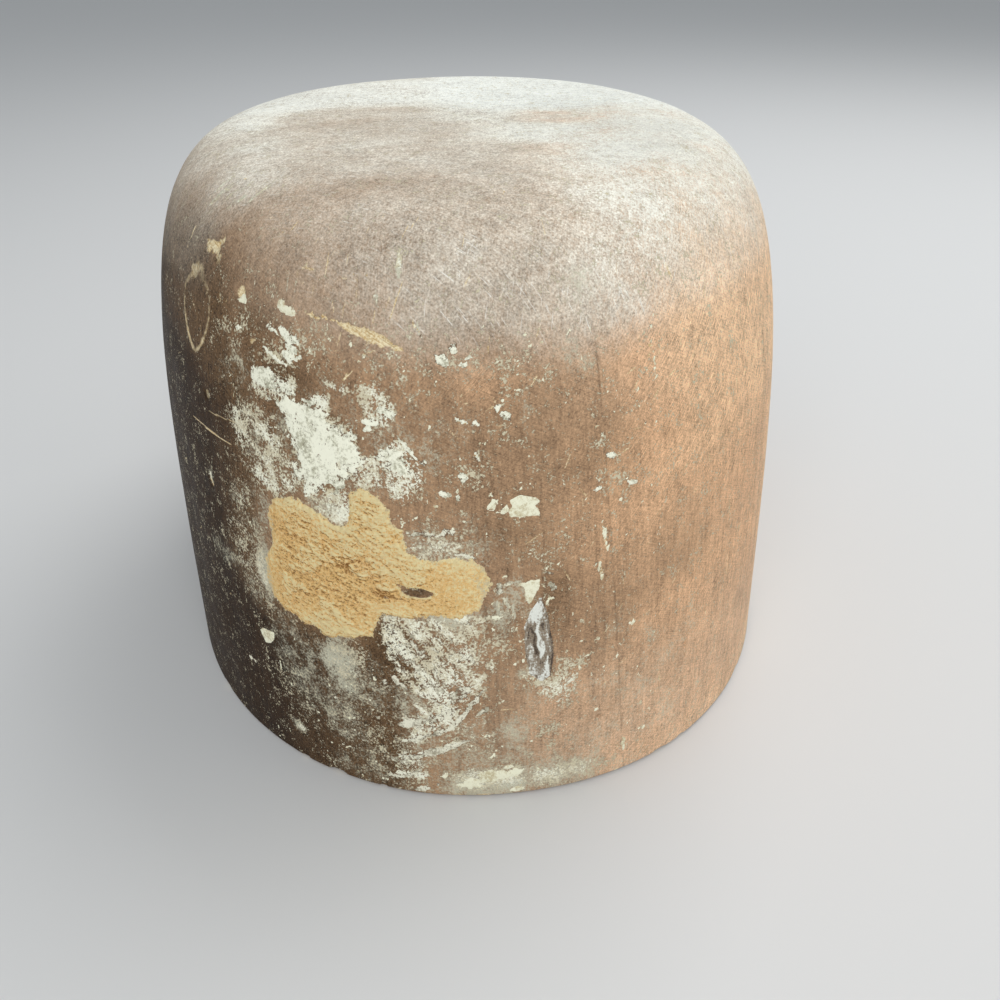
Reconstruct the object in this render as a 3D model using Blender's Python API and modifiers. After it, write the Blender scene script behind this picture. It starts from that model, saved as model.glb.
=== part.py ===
"""Hat block: an oval wooden form that felt is pulled over to shape a hat's crown.

Five planks are glued side by side, leaning a few degrees, and carved together to one domed oval.
The base is flat and has a round socket for the peg of a block stand. A scrap of torn paper and a
run of hardened glue still cling to the front. The front is at -Y and the base stands at z = 0.
"""

import math

import bmesh
import bpy
from mathutils import Euler, Vector

# The carved form, in metres.
WIDTH = 0.164
DEPTH = 0.200
HEIGHT = 0.131
FOOT_HEIGHT = 0.007
EDGE_BREAK = 0.0008
WALL_DRAFT = math.radians(1.7)
# Exponents of the curves that round the plan, the wall and the crown: 2 is an ellipse, more is squarer.
PLAN_SQUARENESS = 2.1
WALL_SQUARENESS = 9.2
CROWN_SQUARENESS = 3.9
SEGMENTS = 96
WALL_RINGS = 12
CROWN_RINGS = 14

# The planks, sawn with spare wood all round, and where the joint on the front crosses half the height.
PLANK_THICKNESS = 0.041
THINNEST_PLANK = 0.008
SPARE_WOOD = 0.020
JOINT_X = 0.0185
JOINT_LEAN = math.radians(5.2)
GLUE_LINE = 0.0003
WOOD_COLOURS = (
    (0.20, 0.12, 0.07),
    (0.26, 0.16, 0.10),
    (0.33, 0.20, 0.12),
    (0.40, 0.23, 0.13),
    (0.44, 0.26, 0.15),
)

# The peg socket in the base.
SOCKET_DIAMETER = 0.026
SOCKET_DEPTH = 0.055
SOCKET_CHAMFER = 0.0015
SOCKET_STEPS = 48

# What clings to the front: both layers lie on the wood with this gap under them.
LAYER_GAP = 0.0003
PAPER_THICKNESS = 0.0005
PAPER_X = -0.0336
PAPER_HEIGHT = 0.0615
# The torn edge, to the right and up from the point above, anticlockwise from the left end of the top.
PAPER_EDGE = (
    (-0.0195, 0.0086),
    (-0.0220, -0.0088),
    (-0.0207, -0.0160),
    (-0.0142, -0.0188),
    (-0.0066, -0.0200),
    (0.0034, -0.0174),
    (0.0050, -0.0112),
    (0.0084, -0.0096),
    (0.0168, -0.0112),
    (0.0210, -0.0086),
    (0.0270, -0.0050),
    (0.0284, -0.0004),
    (0.0260, 0.0030),
    (0.0214, 0.0031),
    (0.0164, 0.0015),
    (0.0117, 0.0025),
    (0.0119, 0.0087),
    (0.0088, 0.0106),
    (0.0088, 0.0147),
    (0.0058, 0.0169),
    (0.0004, 0.0165),
    (0.0026, 0.0107),
    (0.0004, 0.0084),
    (-0.0062, 0.0092),
    (-0.0097, 0.0126),
    (-0.0160, 0.0112),
)
GLUE_X = 0.0040
GLUE_HEIGHT = 0.0455
GLUE_LENGTH = 0.022
GLUE_WIDTH = 0.0044
GLUE_PROUD = 0.0009


def remove_everything():
    for obj in list(bpy.data.objects):
        bpy.data.objects.remove(obj, do_unlink=True)


def new_collection(name):
    collection = bpy.data.collections.new(name)
    bpy.context.scene.collection.children.link(collection)
    return collection


def new_material(name, colour, roughness):
    material = bpy.data.materials.new(name)
    material.use_nodes = True
    shader = material.node_tree.nodes["Principled BSDF"]
    shader.inputs["Base Color"].default_value = (*colour, 1.0)
    shader.inputs["Roughness"].default_value = roughness
    shader.inputs["Metallic"].default_value = 0.0
    return material


def new_object(name, data, collection, material=None):
    obj = bpy.data.objects.new(name, data)
    collection.objects.link(obj)
    if material:
        data.materials.append(material)
    return obj


def as_helper(obj):
    obj.hide_render = True
    obj.display_type = "WIRE"
    return obj


def add_boolean(obj, cutter, operation):
    modifier = obj.modifiers.new(f"{operation.title()} {cutter.name}", "BOOLEAN")
    modifier.operation = operation
    modifier.solver = "EXACT"
    modifier.object = cutter


def mesh_from(curve_object):
    """The evaluated curve as a mesh with its caps welded on; the curve itself is removed."""
    graph = bpy.context.evaluated_depsgraph_get()
    mesh = bpy.data.meshes.new_from_object(curve_object.evaluated_get(graph))
    bpy.data.objects.remove(curve_object, do_unlink=True)
    bm = bmesh.new()
    bm.from_mesh(mesh)
    bmesh.ops.remove_doubles(bm, verts=bm.verts, dist=1e-6)
    bmesh.ops.recalc_face_normals(bm, faces=bm.faces)
    bm.to_mesh(mesh)
    bm.free()
    return mesh


def profile(outset):
    """(share of the oval's outline, height) of each ring, from the base over the shoulder to the crown."""
    rise = HEIGHT + outset - FOOT_HEIGHT
    shoulder_rise = 0.5 ** (1 / CROWN_SQUARENESS)
    shoulder_share = 0.5 ** (1 / WALL_SQUARENESS)
    rings = [(1 - EDGE_BREAK / (WIDTH / 2), 0.0), (1.0, EDGE_BREAK), (1.0, FOOT_HEIGHT)]
    for step in range(1, WALL_RINGS + 1):
        risen = shoulder_rise * math.sin(step / WALL_RINGS * math.pi / 2)
        share = (1 - risen**CROWN_SQUARENESS) ** (1 / WALL_SQUARENESS)
        rings.append((share, FOOT_HEIGHT + rise * risen))
    for step in range(1, CROWN_RINGS):
        share = shoulder_share * math.cos(step / CROWN_RINGS * math.pi / 2)
        risen = (1 - share**WALL_SQUARENESS) ** (1 / CROWN_SQUARENESS)
        rings.append((share, FOOT_HEIGHT + rise * risen))
    return rings


def half_sizes(height, outset):
    """Half the width and half the depth of the drafted wall at this height."""
    drawn_in = height * math.tan(WALL_DRAFT) - outset
    return WIDTH / 2 - drawn_in, DEPTH / 2 - drawn_in


def oval(share, height, outset):
    """The points of one level section, a squared ellipse."""
    half_width, half_depth = half_sizes(height, outset)
    points = []
    for step in range(SEGMENTS):
        angle = step / SEGMENTS * math.tau
        across, along = math.cos(angle), math.sin(angle)
        x = math.copysign(abs(across) ** (2 / PLAN_SQUARENESS), across) * half_width * share
        y = math.copysign(abs(along) ** (2 / PLAN_SQUARENESS), along) * half_depth * share
        points.append(Vector((x, y, height)))
    return points


def carved_form(name, collection, outset=0.0):
    """The domed oval, lofted through level sections, or one that lies outside it by the outset."""
    bm = bmesh.new()
    rings = []
    for share, height in profile(outset):
        ring = [bm.verts.new(point) for point in oval(share, height, outset)]
        edges = [bm.edges.new((a, b)) for a, b in zip(ring, ring[1:] + ring[:1])]
        if rings:
            bmesh.ops.bridge_loops(bm, edges=rings[-1] + edges)
        rings.append(edges)
    bmesh.ops.contextual_create(bm, geom=rings[0])
    bmesh.ops.contextual_create(bm, geom=rings[-1])
    bmesh.ops.recalc_face_normals(bm, faces=bm.faces)
    mesh = bpy.data.meshes.new(name)
    bm.to_mesh(mesh)
    bm.free()
    mesh.shade_smooth()
    mesh.set_sharp_from_angle(angle=math.radians(30))
    return as_helper(new_object(name, mesh, collection))


def lay_on_front(obj, x, height, tilt):
    """Puts the object on the front of the wall at this place and turns it to face the way the wall does."""
    half_width, half_depth = half_sizes(height, 0.0)
    across = abs(x) / half_width
    along = (1 - across**PLAN_SQUARENESS) ** (1 / PLAN_SQUARENESS)
    slope_across = math.copysign(across ** (PLAN_SQUARENESS - 1), x) / half_width
    slope_along = along ** (PLAN_SQUARENESS - 1) / half_depth
    obj.location = (x, -half_depth * along, height)
    obj.rotation_euler = Euler((tilt, 0.0, math.atan2(slope_across, slope_along)))


def socket_cutter(collection):
    """The peg's socket, turned about Z from its floor down past the chamfered mouth."""
    radius = SOCKET_DIAMETER / 2
    below = SOCKET_CHAMFER
    outline = [
        (0.0, SOCKET_DEPTH),
        (radius, SOCKET_DEPTH),
        (radius, SOCKET_CHAMFER),
        (radius + SOCKET_CHAMFER + below, -below),
        (0.0, -below),
    ]
    mesh = bpy.data.meshes.new("socket")
    points = [(x, 0.0, z) for x, z in outline]
    mesh.from_pydata(points, [(i, i + 1) for i in range(len(points) - 1)], [])
    obj = as_helper(new_object("socket_cutter", mesh, collection))
    screw = obj.modifiers.new("Turn", "SCREW")
    screw.steps = SOCKET_STEPS
    screw.render_steps = SOCKET_STEPS
    screw.use_merge_vertices = True
    screw.merge_threshold = 0.00001
    return obj


def joint_planes():
    """Where the joints cross half the height: the one that shows, and one at each plank beside it."""
    pitch = PLANK_THICKNESS / math.cos(JOINT_LEAN)
    reach = half_sizes(HEIGHT / 2, 0.0)[0] - THINNEST_PLANK
    to_right = math.floor((reach - JOINT_X) / pitch)
    to_left = math.floor((reach + JOINT_X) / pitch)
    return [JOINT_X + pitch * step for step in range(-to_left, to_right + 1)]


def plank_names(planes):
    """Names from left to right: the plank across x = 0 is the middle one, and the numbers rise outwards."""
    middle = sum(1 for plane in planes if plane < 0)
    names = []
    for place in range(len(planes) + 1):
        if place == middle:
            names.append("plank_middle")
        elif place < middle:
            names.append(f"plank_left_{middle - place}")
        else:
            names.append(f"plank_right_{place - middle}")
    return names


def glued_planks(collection, form, socket):
    """Leaning boards between the joint planes, carved to the form and drilled together."""
    planes = joint_planes()
    beyond = WIDTH / 2 + SPARE_WOOD
    faces = [-beyond, *planes, beyond]
    for place, name in enumerate(plank_names(planes)):
        left, right = faces[place], faces[place + 1]
        thickness = (right - left) * math.cos(JOINT_LEAN) - GLUE_LINE
        length = DEPTH + 2 * SPARE_WOOD
        tallness = HEIGHT + 2 * SPARE_WOOD
        mesh = bpy.data.meshes.new(name)
        bm = bmesh.new()
        bmesh.ops.create_cube(bm, size=1.0)
        bmesh.ops.scale(bm, vec=(thickness, length, tallness), verts=bm.verts)
        bm.to_mesh(mesh)
        bm.free()
        wood = new_material(f"{name}_wood", WOOD_COLOURS[place % len(WOOD_COLOURS)], 0.6)
        plank = new_object(name, mesh, collection, wood)
        plank.location = ((left + right) / 2, 0.0, HEIGHT / 2)
        plank.rotation_euler = Euler((0.0, -JOINT_LEAN, 0.0))
        add_boolean(plank, form, "INTERSECT")
        add_boolean(plank, socket, "DIFFERENCE")


def torn_paper(collection, cutters, bed):
    """A sheet that follows the wall: the torn outline pushed through the layer outside the bed."""
    curve = bpy.data.curves.new("paper_outline", "CURVE")
    curve.dimensions = "2D"
    curve.fill_mode = "BOTH"
    curve.extrude = 0.012
    spline = curve.splines.new("POLY")
    spline.points.add(len(PAPER_EDGE) - 1)
    for point, (across, up) in zip(spline.points, PAPER_EDGE):
        point.co = (across, up, 0.0, 1.0)
    spline.use_cyclic_u = True
    outline = new_object("paper_outline", curve, collection)
    bpy.context.view_layer.update()
    mesh = mesh_from(outline)
    mesh.name = "paper_scrap"
    paper = new_object("paper_scrap", mesh, collection, new_material("paper", (0.58, 0.40, 0.20), 0.95))
    lay_on_front(paper, PAPER_X, PAPER_HEIGHT, math.pi / 2)
    face = carved_form("paper_face", cutters, LAYER_GAP + PAPER_THICKNESS)
    add_boolean(paper, face, "INTERSECT")
    add_boolean(paper, bed, "DIFFERENCE")


def glue_run(collection, bed):
    """A flattened drop, widest low down, whose inner half is cut away by the bed."""
    mesh = bpy.data.meshes.new("glue_run")
    steps = 14
    points = []
    for step in range(steps + 1):
        down = step / steps
        radius = math.sin(math.pi * down**1.5) if 0 < step < steps else 0.0
        points.append((radius * GLUE_WIDTH / 2, 0.0, GLUE_LENGTH * (0.5 - down)))
    mesh.from_pydata(points, [(i, i + 1) for i in range(steps)], [])
    drop = new_object("glue_run", mesh, collection, new_material("glue", (0.62, 0.60, 0.54), 0.25))
    screw = drop.modifiers.new("Turn", "SCREW")
    screw.steps = 20
    screw.render_steps = 20
    screw.use_merge_vertices = True
    screw.merge_threshold = 0.00001
    lay_on_front(drop, GLUE_X, GLUE_HEIGHT, -WALL_DRAFT)
    drop.scale = (1.0, 2 * (LAYER_GAP + GLUE_PROUD) / GLUE_WIDTH, 1.0)
    add_boolean(drop, bed, "DIFFERENCE")


remove_everything()
hat_block = new_collection("hat_block")
cutters = new_collection("cutters")
form = carved_form("carved_form", cutters)
bed = carved_form("layer_bed", cutters, LAYER_GAP)
glued_planks(hat_block, form, socket_cutter(cutters))
torn_paper(hat_block, cutters, bed)
glue_run(hat_block, bed)
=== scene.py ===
import math
from types import SimpleNamespace

import bmesh
import bpy
import numpy as np
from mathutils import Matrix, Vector


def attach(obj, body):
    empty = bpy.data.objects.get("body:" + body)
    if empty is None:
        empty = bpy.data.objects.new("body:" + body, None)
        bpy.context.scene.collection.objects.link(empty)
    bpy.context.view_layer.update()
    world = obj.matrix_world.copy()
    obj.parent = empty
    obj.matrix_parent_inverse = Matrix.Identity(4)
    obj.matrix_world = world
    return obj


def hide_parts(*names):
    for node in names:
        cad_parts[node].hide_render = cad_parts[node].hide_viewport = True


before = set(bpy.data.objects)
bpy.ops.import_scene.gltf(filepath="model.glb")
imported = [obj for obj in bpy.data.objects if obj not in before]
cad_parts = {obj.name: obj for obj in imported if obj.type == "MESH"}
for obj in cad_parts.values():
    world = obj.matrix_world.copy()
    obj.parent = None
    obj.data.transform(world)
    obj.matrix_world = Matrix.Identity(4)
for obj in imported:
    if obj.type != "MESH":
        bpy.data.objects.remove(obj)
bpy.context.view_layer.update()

# The viewpoint. The block is seen from a little left of its front and from above, from a quarter of
# a metre away, so the crown looks wider than the base.
VIEW_PLACE = (-0.0252, -0.2505, 0.1747)
VIEW_TURN = (58.16, 0.75, -8.22)
VIEW_LENS_MM, VIEW_FRAME_MM = 34.67, 36.0


def placed(name, data):
    """A new object in the scene."""
    obj = bpy.data.objects.new(name, data)
    bpy.context.scene.collection.objects.link(obj)
    return obj


lens = bpy.data.cameras.new("view")
lens.sensor_width = VIEW_FRAME_MM
lens.lens = VIEW_LENS_MM
lens.clip_start = 0.01
camera = placed("view", lens)
camera.location = VIEW_PLACE
camera.rotation_euler = [math.radians(turn) for turn in VIEW_TURN]
bpy.context.scene.camera = camera
bpy.context.scene.view_settings.view_transform = "Standard"

# The light. One soft lamp stands high behind the block on its right, a broad one in front and a
# weak one to the right, and the room fills the rest. A lamp is its place, its size and its power.
LAMPS = {
    "window": ((0.45, 0.35, 0.90), 0.7, 4.6),
    "front_fill": ((-0.15, -0.95, 0.75), 1.0, 6.6),
    "right_fill": ((1.00, -0.25, 0.55), 0.8, 1.3),
}
LIT_POINT = Vector((0.0, 0.0, 0.07))
ROOM_COLOUR, ROOM_STRENGTH = (0.9, 0.95, 1.0, 1.0), 0.42

for name, (place, size, power) in LAMPS.items():
    lamp = bpy.data.lights.new(name, "AREA")
    lamp.size = size
    lamp.energy = power
    stand = placed(name, lamp)
    stand.location = place
    stand.rotation_euler = (LIT_POINT - Vector(place)).to_track_quat("-Z", "Y").to_euler()

room = bpy.data.worlds.new("room")
room.use_nodes = True
bpy.context.scene.world = room
glow = room.node_tree.nodes["Background"].inputs
glow["Color"].default_value = ROOM_COLOUR
glow["Strength"].default_value = ROOM_STRENGTH

# The pale floor that the block stands on. It lies a hair lower than the base, so that the two
# faces are never in one plane.
FLOOR_SIZE, FLOOR_DROP = 6.0, 0.0002
FLOOR_COLOUR, FLOOR_ROUGHNESS = (0.72, 0.72, 0.71, 1.0), 0.9

floor_mesh = bpy.data.meshes.new("floor")
bm = bmesh.new()
bmesh.ops.create_grid(bm, x_segments=1, y_segments=1, size=FLOOR_SIZE / 2)
bm.to_mesh(floor_mesh)
bm.free()
floor = placed("floor", floor_mesh)
floor.location = (0.0, 0.0, -FLOOR_DROP)
paint = bpy.data.materials.new("floor_paint")
paint.use_nodes = True
coat = paint.node_tree.nodes["Principled BSDF"].inputs
coat["Base Color"].default_value = FLOOR_COLOUR
coat["Roughness"].default_value = FLOOR_ROUGHNESS
floor_mesh.materials.append(paint)

# The carved surface. Five planks, glued side by side and leaning a little, were carved and rasped
# to one oval with a domed crown. The surface is drawn unrolled, as a sheet: how far round the wall
# from the middle of the front, how far up it, and how far in or out of it. A tree wraps the sheet.
MM = 0.001
WIDTH, DEPTH, HEIGHT = 0.164, 0.200, 0.131
FOOT_HEIGHT = 0.007
WALL_DRAFT = math.tan(math.radians(1.7))
GIRTH = 0.578
CROWN_REACH = 0.082
PLAN_SQUARENESS, WALL_SQUARENESS, CROWN_SQUARENESS = 2.1, 9.2, 3.9
SHOULDER_UP = FOOT_HEIGHT + (HEIGHT - FOOT_HEIGHT) * 0.5 ** (1 / CROWN_SQUARENESS)
UNEVENNESS, UNEVEN_PER_METRE = 0.0006, 22.0
JOINT_X, JOINT_LEAN = 0.0185, math.tan(math.radians(5.2))
JOINT_GROOVE_DEPTH, JOINT_GROOVE_WIDTH = 0.00003, 0.0006
SOCKET_KINDS = {float: "Float", int: "Int", tuple: "Color"}


class Flow:
    """What flows out of a node. Sums, products and powers of it make Math nodes."""

    def __init__(self, socket):
        self.socket, self.tree = socket, socket.id_data

    def beside(self, place):
        """What flows out of another output of the same node."""
        return Flow(self.socket.node.outputs[place])

    def __add__(self, other):
        return maths("ADD", self, other)

    def __sub__(self, other):
        return maths("SUBTRACT", self, other)

    def __rsub__(self, other):
        return maths("SUBTRACT", other, self)

    def __mul__(self, other):
        return maths("MULTIPLY", self, other)

    def __truediv__(self, other):
        return maths("DIVIDE", self, other)

    def __rtruediv__(self, other):
        return maths("DIVIDE", other, self)

    def __pow__(self, other):
        return maths("POWER", self, other)

    def __rpow__(self, other):
        return maths("POWER", other, self)

    def __abs__(self):
        return maths("ABSOLUTE", self)

    __radd__, __rmul__ = __add__, __mul__


def feed(socket, value):
    """Puts a number, a colour or what flows out of another node into a socket."""
    if isinstance(value, Flow):
        value.tree.links.new(value.socket, socket)
    else:
        socket.default_value = value


def flow_from(tree, kind, inputs=(), out=0, **settings):
    """What flows out of a new node with these settings. Its inputs are fed by name or by place."""
    node = tree.nodes.new(kind)
    for name, setting in settings.items():
        setattr(node, name, setting)
    for place, value in dict(inputs).items():
        feed(node.inputs[place], value)
    return Flow(node.outputs[out])


def maths(operation, *terms):
    """What a Math node makes of numbers and flows."""
    tree = next(term.tree for term in terms if isinstance(term, Flow))
    return flow_from(tree, "ShaderNodeMath", enumerate(terms), operation=operation)


def vector_maths(operation, *terms):
    """The same for vectors and colours."""
    return flow_from(terms[0].tree, "ShaderNodeVectorMath", enumerate(terms), operation=operation)


def scaled(vector, amount):
    """A vector or a colour, times a number."""
    return flow_from(vector.tree, "ShaderNodeVectorMath", {0: vector, "Scale": amount}, operation="SCALE")


def vector_of(*terms):
    return flow_from(terms[0].tree, "ShaderNodeCombineXYZ", enumerate(terms))


def parts_of(vector):
    x = flow_from(vector.tree, "ShaderNodeSeparateXYZ", {0: vector})
    return x, x.beside(1), x.beside(2)


def noise_of(where, scale, detail=2.0, roughness=0.5):
    """Soft random noise around one half; scale is how many waves of it a metre holds."""
    inputs = {"Vector": where, "Scale": scale, "Detail": detail, "Roughness": roughness}
    return flow_from(where.tree, "ShaderNodeTexNoise", inputs)


def new_group(name, kind, inputs, outputs):
    """An empty group and what flows from its inputs. An input is given by its kind or its value."""
    tree = bpy.data.node_groups.new(name, kind)
    for way, sockets in (("INPUT", inputs), ("OUTPUT", outputs)):
        for label, value in sockets.items():
            held = value if isinstance(value, str) else SOCKET_KINDS[type(value)]
            item = tree.interface.new_socket(name=label, in_out=way, socket_type=f"NodeSocket{held}")
            if held != value:
                item.default_value = value
    given = tree.nodes.new("NodeGroupInput").outputs
    return tree, {label: Flow(given[label]) for label in inputs}


def end_group(tree, **results):
    """Sends each result to the group's output of that name."""
    ends = tree.nodes.new("NodeGroupOutput").inputs
    for label, value in results.items():
        feed(ends[label], value)
    return tree


def end_with_real_faces(tree, geometry, material):
    """Ends a tree by making its instances real faces of one material."""
    real = flow_from(tree, "GeometryNodeRealizeInstances", {"Geometry": geometry})
    dressed = flow_from(tree, "GeometryNodeSetMaterial", {"Geometry": real, "Material": material})
    return end_group(tree, Geometry=dressed)


def point_on_block():
    """A group that gives the place on the carved surface that lies this far round and up."""
    tree, given = new_group("point_on_block", "GeometryNodeTree", {
        "Round": 0.0, "Up": 0.0, "Width": WIDTH, "Depth": DEPTH, "Height": HEIGHT,
        "Foot Height": FOOT_HEIGHT, "Draft": WALL_DRAFT, "Girth": GIRTH, "Crown Reach": CROWN_REACH,
        "Plan Squareness": PLAN_SQUARENESS, "Wall Squareness": WALL_SQUARENESS,
        "Crown Squareness": CROWN_SQUARENESS,
    }, {"Position": "Vector"})
    up, foot = given["Up"], given["Foot Height"]
    wall, crown = given["Wall Squareness"], given["Crown Squareness"]
    rise = given["Height"] - foot
    shoulder_risen, shoulder_share = 0.5 ** (1.0 / crown), 0.5 ** (1.0 / wall)
    shoulder_up = rise * shoulder_risen + foot

    risen = maths("MINIMUM", maths("MAXIMUM", (up - foot) / rise, 0.0), shoulder_risen)
    wall_share = (1.0 - risen**crown) ** (1.0 / wall)
    over = maths("MINIMUM", maths("MAXIMUM", (up - shoulder_up) / given["Crown Reach"], 0.0), 1.0)
    crown_share = shoulder_share * (1.0 - over)
    crown_risen = (1.0 - crown_share**wall) ** (1.0 / crown)

    on_crown = maths("GREATER_THAN", up, shoulder_up)
    share = wall_share + (crown_share - wall_share) * on_crown
    height = up + (rise * crown_risen + foot - up) * on_crown

    angle = given["Round"] * math.tau / given["Girth"]
    sides = []
    for turned, size in (("SINE", "Width"), ("COSINE", "Depth")):
        turn = maths(turned, angle)
        squared = abs(turn) ** (2.0 / given["Plan Squareness"])
        half = given[size] * 0.5 - height * given["Draft"]
        sides.append(squared * maths("SIGN", turn) * half * share)
    return end_group(tree, Position=vector_of(sides[0], sides[1] * -1.0, height))


def wrap_on_block():
    """A tree that wraps a sheet drawn as (round, up, out) on the carved surface."""
    tree, given = new_group("wrap_on_block", "GeometryNodeTree", {
        "Geometry": "Geometry", "Step": 0.0001, "Unevenness": UNEVENNESS, "Groove Depth": 0.0,
        "Groove Width": JOINT_GROOVE_WIDTH, "Joint X": JOINT_X, "Joint Lean": JOINT_LEAN,
        "Half Height": HEIGHT / 2, "Material": "Material",
    }, {"Geometry": "Geometry"})
    far, high, out = parts_of(flow_from(tree, "GeometryNodeInputPosition"))
    point, beside, above = (
        flow_from(
            tree, "GeometryNodeGroup", node_tree=surface_group,
            inputs={"Round": given["Step"] * aside + far, "Up": given["Step"] * upward + high},
        )
        for aside, upward in ((0.0, 0.0), (1.0, 0.0), (0.0, 1.0))
    )
    along, upward = vector_maths("SUBTRACT", beside, point), vector_maths("SUBTRACT", above, point)
    outward = vector_maths("NORMALIZE", vector_maths("CROSS_PRODUCT", along, upward))
    worn = noise_of(point, UNEVEN_PER_METRE, 4.0) * given["Unevenness"]
    x, _, z = parts_of(point)
    away = abs(x + (z - given["Half Height"]) * given["Joint Lean"] - given["Joint X"])
    groove = maths("MAXIMUM", 1.0 - away / given["Groove Width"], 0.0) * given["Groove Depth"]
    place = vector_maths("ADD", point, scaled(outward, out - worn - groove))
    moved = flow_from(tree, "GeometryNodeSetPosition", {"Geometry": given["Geometry"], "Position": place})
    return end_with_real_faces(tree, moved, given["Material"])


def grown(source, tree, **inputs):
    """The plain mesh that a tree makes of this one, its inputs set by name."""
    obj = placed(source.name, source)
    modifier = obj.modifiers.new("Shape", "NODES")
    modifier.node_group = tree
    for item in tree.interface.items_tree:
        label = item.name.replace(" ", "_")
        if label in inputs and item.in_out == "INPUT":
            modifier[item.identifier] = inputs[label]
    graph = bpy.context.evaluated_depsgraph_get()
    mesh = bpy.data.meshes.new_from_object(obj.evaluated_get(graph))
    bpy.data.objects.remove(obj)
    return mesh


surface_group = point_on_block()
wrap_tree = wrap_on_block()

# The marks on the surface. Years of use left dents, scratches and spatters. Each is drawn on the
# unrolled sheet in millimetres, round from the middle of the front and up the wall.
LATTICE = 97


def blotches(far, high, size, seed, octaves=4, fade=0.6):
    """Random blotches from 0 to 1; size is the width of the largest."""
    total, weight = 0.0, 0.0
    for octave in range(octaves):
        lattice = np.random.default_rng(seed + octave).random((LATTICE, LATTICE))
        x, y = far * 2**octave / size, high * 2**octave / size
        left, low = np.floor(x).astype(int), np.floor(y).astype(int)
        x, y = x - left, y - low
        x, y = x * x * (3 - 2 * x), y * y * (3 - 2 * y)
        rows = [[lattice[(left + i) % LATTICE, (low + j) % LATTICE] for i in (0, 1)] for j in (0, 1)]
        lower, upper = (start * (1 - x) + end * x for start, end in rows)
        total = total + (lower * (1 - y) + upper * y) * fade**octave
        weight += fade**octave
    return total / weight


def stirred(far, high, size, reach, seed):
    """The same places, pushed about at random, so that what is drawn at them gets a ragged outline."""
    push = [(blotches(far, high, size, seed + more, 4, 0.7) - 0.5) * 2 * reach for more in (0, 20)]
    return far + push[0], high + push[1]


def eased(value, low, high):
    """From 0 to 1, smoothly, as the value goes from low to high."""
    share = np.clip((value - low) / (high - low), 0, 1)
    return share * share * (3 - 2 * share)


def dabbed(far, high, dabs, soft=False):
    """How fully oval dabs cover each place. A dab is where it lies, round and up, half its length and
    half its width, its strength and, if it lies aslant, its turn."""
    cover = np.zeros(far.shape)
    for place, level, long, wide, strength, *turn in dabs:
        angle = math.radians(sum(turn))
        c, s = math.cos(angle), math.sin(angle)
        x, y = far - place, high - level
        away = ((x * c + y * s) / long) ** 2 + ((y * c - x * s) / wide) ** 2
        near = strength * (np.exp(-away) if soft else np.clip(1.5 - away, 0, 1))
        np.maximum(cover, near, out=cover)
    return cover


def from_line(far, high, start, end):
    """How far along a line each place comes nearest to it, from 0 to 1, and how far off it is there."""
    dx, dy = end[0] - start[0], end[1] - start[1]
    x, y = far - start[0], high - start[1]
    share = np.clip((x * dx + y * dy) / (dx * dx + dy * dy), 0, 1)
    return share, np.hypot(x - share * dx, y - share * dy)


def scored(far, high, strokes):
    """How fully strokes cover each place. A stroke is where it starts and where it ends, its width
    and its strength."""
    cover = np.zeros(far.shape)
    for *ends, width, strength in strokes:
        share, away = from_line(far, high, ends[:2], ends[2:])
        taper = width / 2 * (1.15 - np.abs(2 * share - 1))
        np.maximum(cover, strength * np.clip(1.5 - (away / taper) ** 2, 0, 1), out=cover)
    return cover


def scuffs(left, low, right, top, count, seed, turns=(48, 20, -35, 85), wide=(0.28, 0.5)):
    """Short strokes at random in a box of the sheet, most of them one way."""
    pick = np.random.default_rng(seed)
    start = pick.uniform((left, low), (right, top), (count, 2))
    turn = np.radians(pick.choice(turns, count, p=(0.45, 0.2, 0.2, 0.15)) + pick.normal(0, 12, count))
    length = pick.uniform(0.8, 4.5, count) ** 1.15
    end = start + np.stack([np.cos(turn), np.sin(turn)], 1) * length[:, None]
    width, strength = pick.uniform(*wide, count), pick.uniform(0.4, 0.95, count)
    return np.column_stack([start, end, width, strength]).tolist()


def within(far, high, outline):
    """How far inside an outline each place lies, in millimetres; less than nothing outside it."""
    inside, nearest = np.zeros(far.shape, bool), np.full(far.shape, np.inf)
    for start, end in zip(outline, outline[1:] + outline[:1]):
        np.minimum(nearest, from_line(far, high, start, end)[1], out=nearest)
        (x0, y0), (x1, y1) = start, end
        if y0 != y1:
            crossed = (y0 > high) != (y1 > high)
            inside ^= crossed & (far < (x1 - x0) * (high - y0) / (y1 - y0) + x0)
    return np.where(inside, nearest, -nearest)


def patched(far, high, patches):
    """How fully patches cover each place. A patch is its strength, its soft edge and its outline."""
    cover = np.zeros(far.shape)
    for strength, soft, outline in patches:
        np.maximum(cover, strength * eased(within(far, high, outline), -soft, soft), out=cover)
    return cover


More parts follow.
